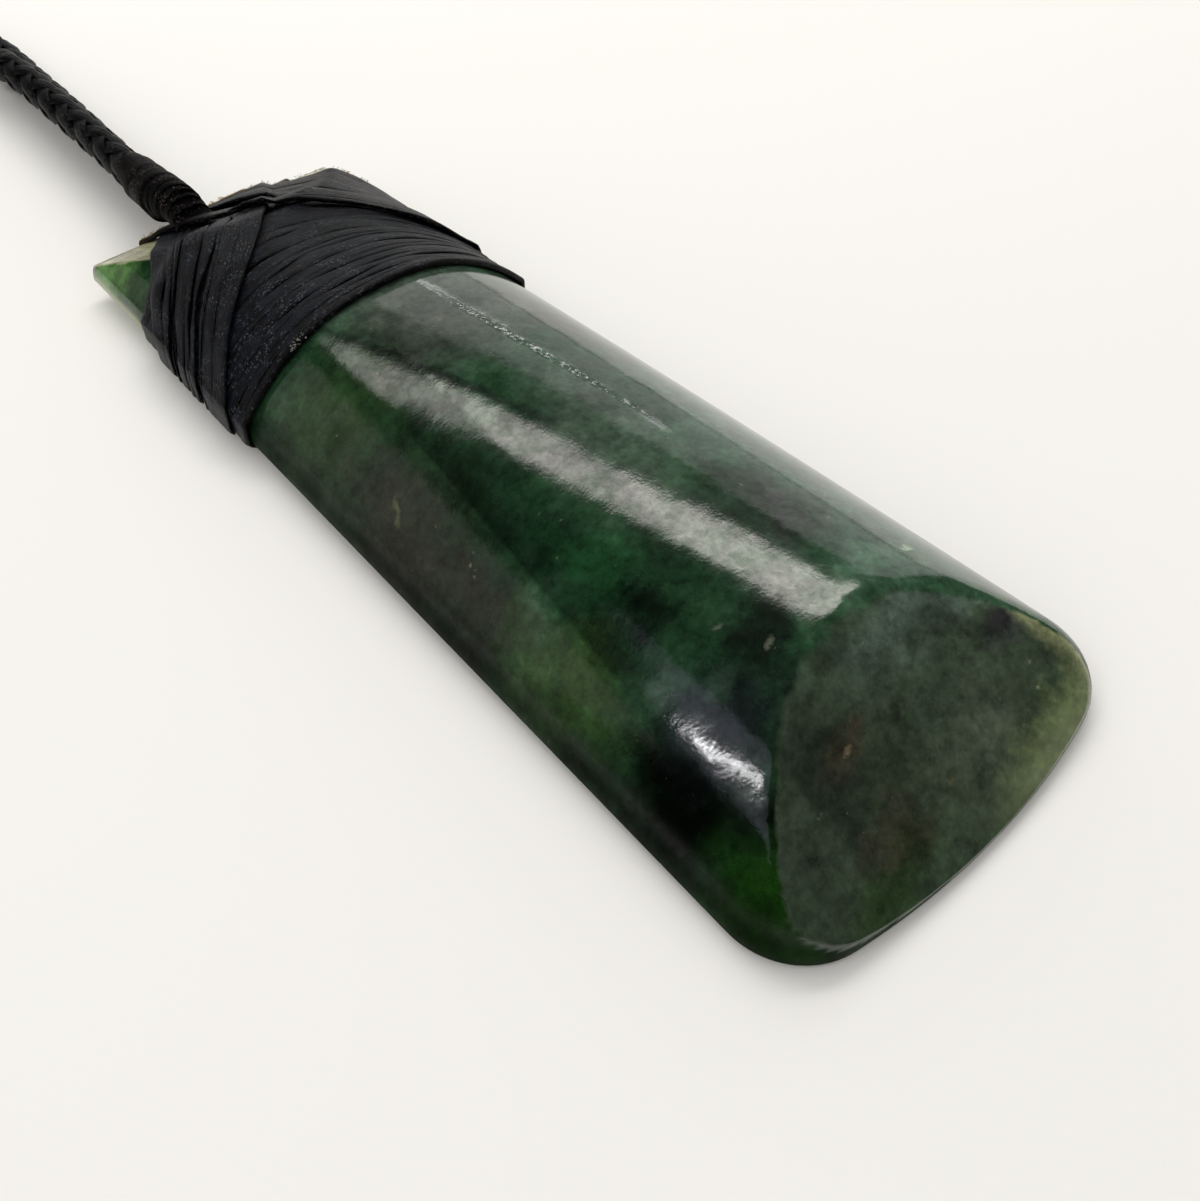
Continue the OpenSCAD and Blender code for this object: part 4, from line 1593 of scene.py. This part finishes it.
@dataclass
class Stage:
    """The plain floor, the soft light and the camera. Sizes in m."""

    lamps: tuple[Lamp, ...] = (
        Lamp("overhead", (0.1, 0.36, 0.8), 1.5, 1.3, 0.3, "#fdfdff", ceiling=True, mirrored=False),
        Lamp("key", aimed(38, 52, 0.5), 0.45, 0.45, 1.0, "#fffefc", mirrored=False),
        Lamp("fill", aimed(-105, 35, 0.9), 0.9, 0.9, 0.7, "#fffbf5", mirrored=False),
        Lamp("window_start", (-0.055, 0.617, 0.6), 0.29, 0.14, 2.4, "#fffaf2", ceiling=True, spin=-37.7),
        Lamp("window_middle", (0.174, 0.44, 0.6), 0.29, 0.18, 4.2, "#fffaf2", ceiling=True, spin=-37.7),
        Lamp("window_end", (0.4, 0.258, 0.6), 0.29, 0.18, 5.2, "#fffaf2", ceiling=True, spin=-37.7),
        Lamp("window_corner", (0.6, 0.2, 0.6), 0.2, 0.08, 5.0, "#fffaf2", ceiling=True),
        Lamp("bright_slit", aimed(46.5, 22.2, 1.0), 0.34, 0.012, 8.0),
        Lamp("small_lamp", (-0.305, 0.124, 0.379), 0.007, 0.09, 50.0, spin=-17),
        Lamp("far_card", aimed(45, 18, 1.2), 1.68, 0.72, 0.8, "#f6f8f4"),
        Lamp("left_card", aimed(-42, 19, 0.7), 0.48, 0.44, 0.33, "#f3efe4"),
        Lamp("violet_card", (-0.46, 0.18, 0.6), 0.36, 0.24, 0.6, "#d8dcf0", ceiling=True),
    )
    room_light: float = 0.45
    camera_place: tuple[float, float, float] = (-0.037456, -0.048399, 0.058082)
    camera_pitch: float = 49.459
    camera_azimuth: float = 42.854
    image_width: int = 1200
    focal_pixels: float = 1208.53
    sensor_mm: float = 36.0

    def camera(self) -> None:
        """Sets the camera where the photograph was taken from."""
        turn = (math.radians(90 - self.camera_pitch), 0.0, math.radians(-self.camera_azimuth))
        bpy.ops.object.camera_add(location=self.camera_place, rotation=turn)
        camera = bpy.context.object
        camera.data.sensor_fit = "HORIZONTAL"
        camera.data.sensor_width = self.sensor_mm
        camera.data.lens = self.focal_pixels / self.image_width * self.sensor_mm
        camera.data.clip_start, camera.data.clip_end = 0.002, 20.0
        bpy.context.scene.camera = camera

    def floor(self) -> None:
        """Lays the board that the pendant lies on."""
        bpy.ops.object.select_all(action="DESELECT")
        bpy.ops.mesh.primitive_plane_add(size=6)
        floor = bpy.context.object
        floor.name = "floor"
        floor.data.materials.append(PaleBoard().material())

    def lamp(self, lamp: Lamp) -> None:
        """Hangs a flat soft lamp or a dimly lit card."""
        bpy.ops.object.light_add(type="AREA", location=lamp.place, rotation=lamp.turned())
        light = bpy.context.object
        light.name = lamp.name
        light.data.shape = "RECTANGLE"
        light.data.size, light.data.size_y = lamp.width, lamp.height
        light.data.energy = math.pi * lamp.brightness * lamp.width * lamp.height
        light.data.color = linear(lamp.colour)[:3]
        light.visible_glossy = lamp.mirrored

    def light(self) -> None:
        """Sets the room's even light, the soft lamps and the cards that the polish mirrors."""
        world = bpy.data.worlds.new("room")
        bpy.context.scene.world = world
        world.use_nodes = True
        background = world.node_tree.nodes["Background"]
        background.inputs["Color"].default_value = linear("#f2f1ee")
        background.inputs["Strength"].default_value = self.room_light
        # The polish mirrors only the lamps and the cards
        world.cycles_visibility.glossy = False
        for lamp in self.lamps:
            self.lamp(lamp)
        scene = bpy.context.scene
        scene.view_settings.view_transform = "Standard"
        scene.view_settings.look = "None"


def main() -> None:
    """Builds the scene: camera and light, the cord, then the stone, its binding and the collar."""
    logging.basicConfig(level=logging.INFO, format="%(name)s %(message)s")
    stage = Stage()
    stage.camera()
    stage.floor()
    stage.light()
    flat, twisted = Lay.FLAT, Lay.TWISTED
    thread = WaxedThread("waxed_thread", "#010204", "#171b27", "#5d6069", flat, 0.44, 0.9, 0.26).material()
    wound = WaxedThread("wound_thread", "#030203", "#100e10", "#6a5a57", twisted, 0.6, 0.9, 0.1).material()
    cord = WaxedThread("braided_cord", "#000001", "#06070b", "#4a4c55", twisted, 0.34, 1.0, 0.1).material()
    finish(NeckCord().build(), cord, "braided_cord", "neck_cord")
    stone = AdzeStone()
    finish(stone.build(), Nephrite().material(), "greenstone", "stone")
    binding = Binding(stone)
    for node, piece in binding.build().items():
        finish(piece, thread, "waxed_thread", node)
    fibres = {"golden": Fibre("golden_fibre", "#a5894f"), "pale": Fibre("pale_fibre", "#9a9b98")}
    fraying = Fraying(binding)
    for colour, piece in fraying.build().items():
        finish(piece, fibres[colour].material(), "waxed_thread")
    torn = WaxedThread("bleached_thread", "#2b2620", "#82786a", "#a09684", flat, 0.6, 0.8, 0.2).material()
    finish(fraying.cut_end(), torn, "waxed_thread")
    finish(Collar().build(), wound, "wound_thread", "collar")


if __name__ == "__main__":
    main()
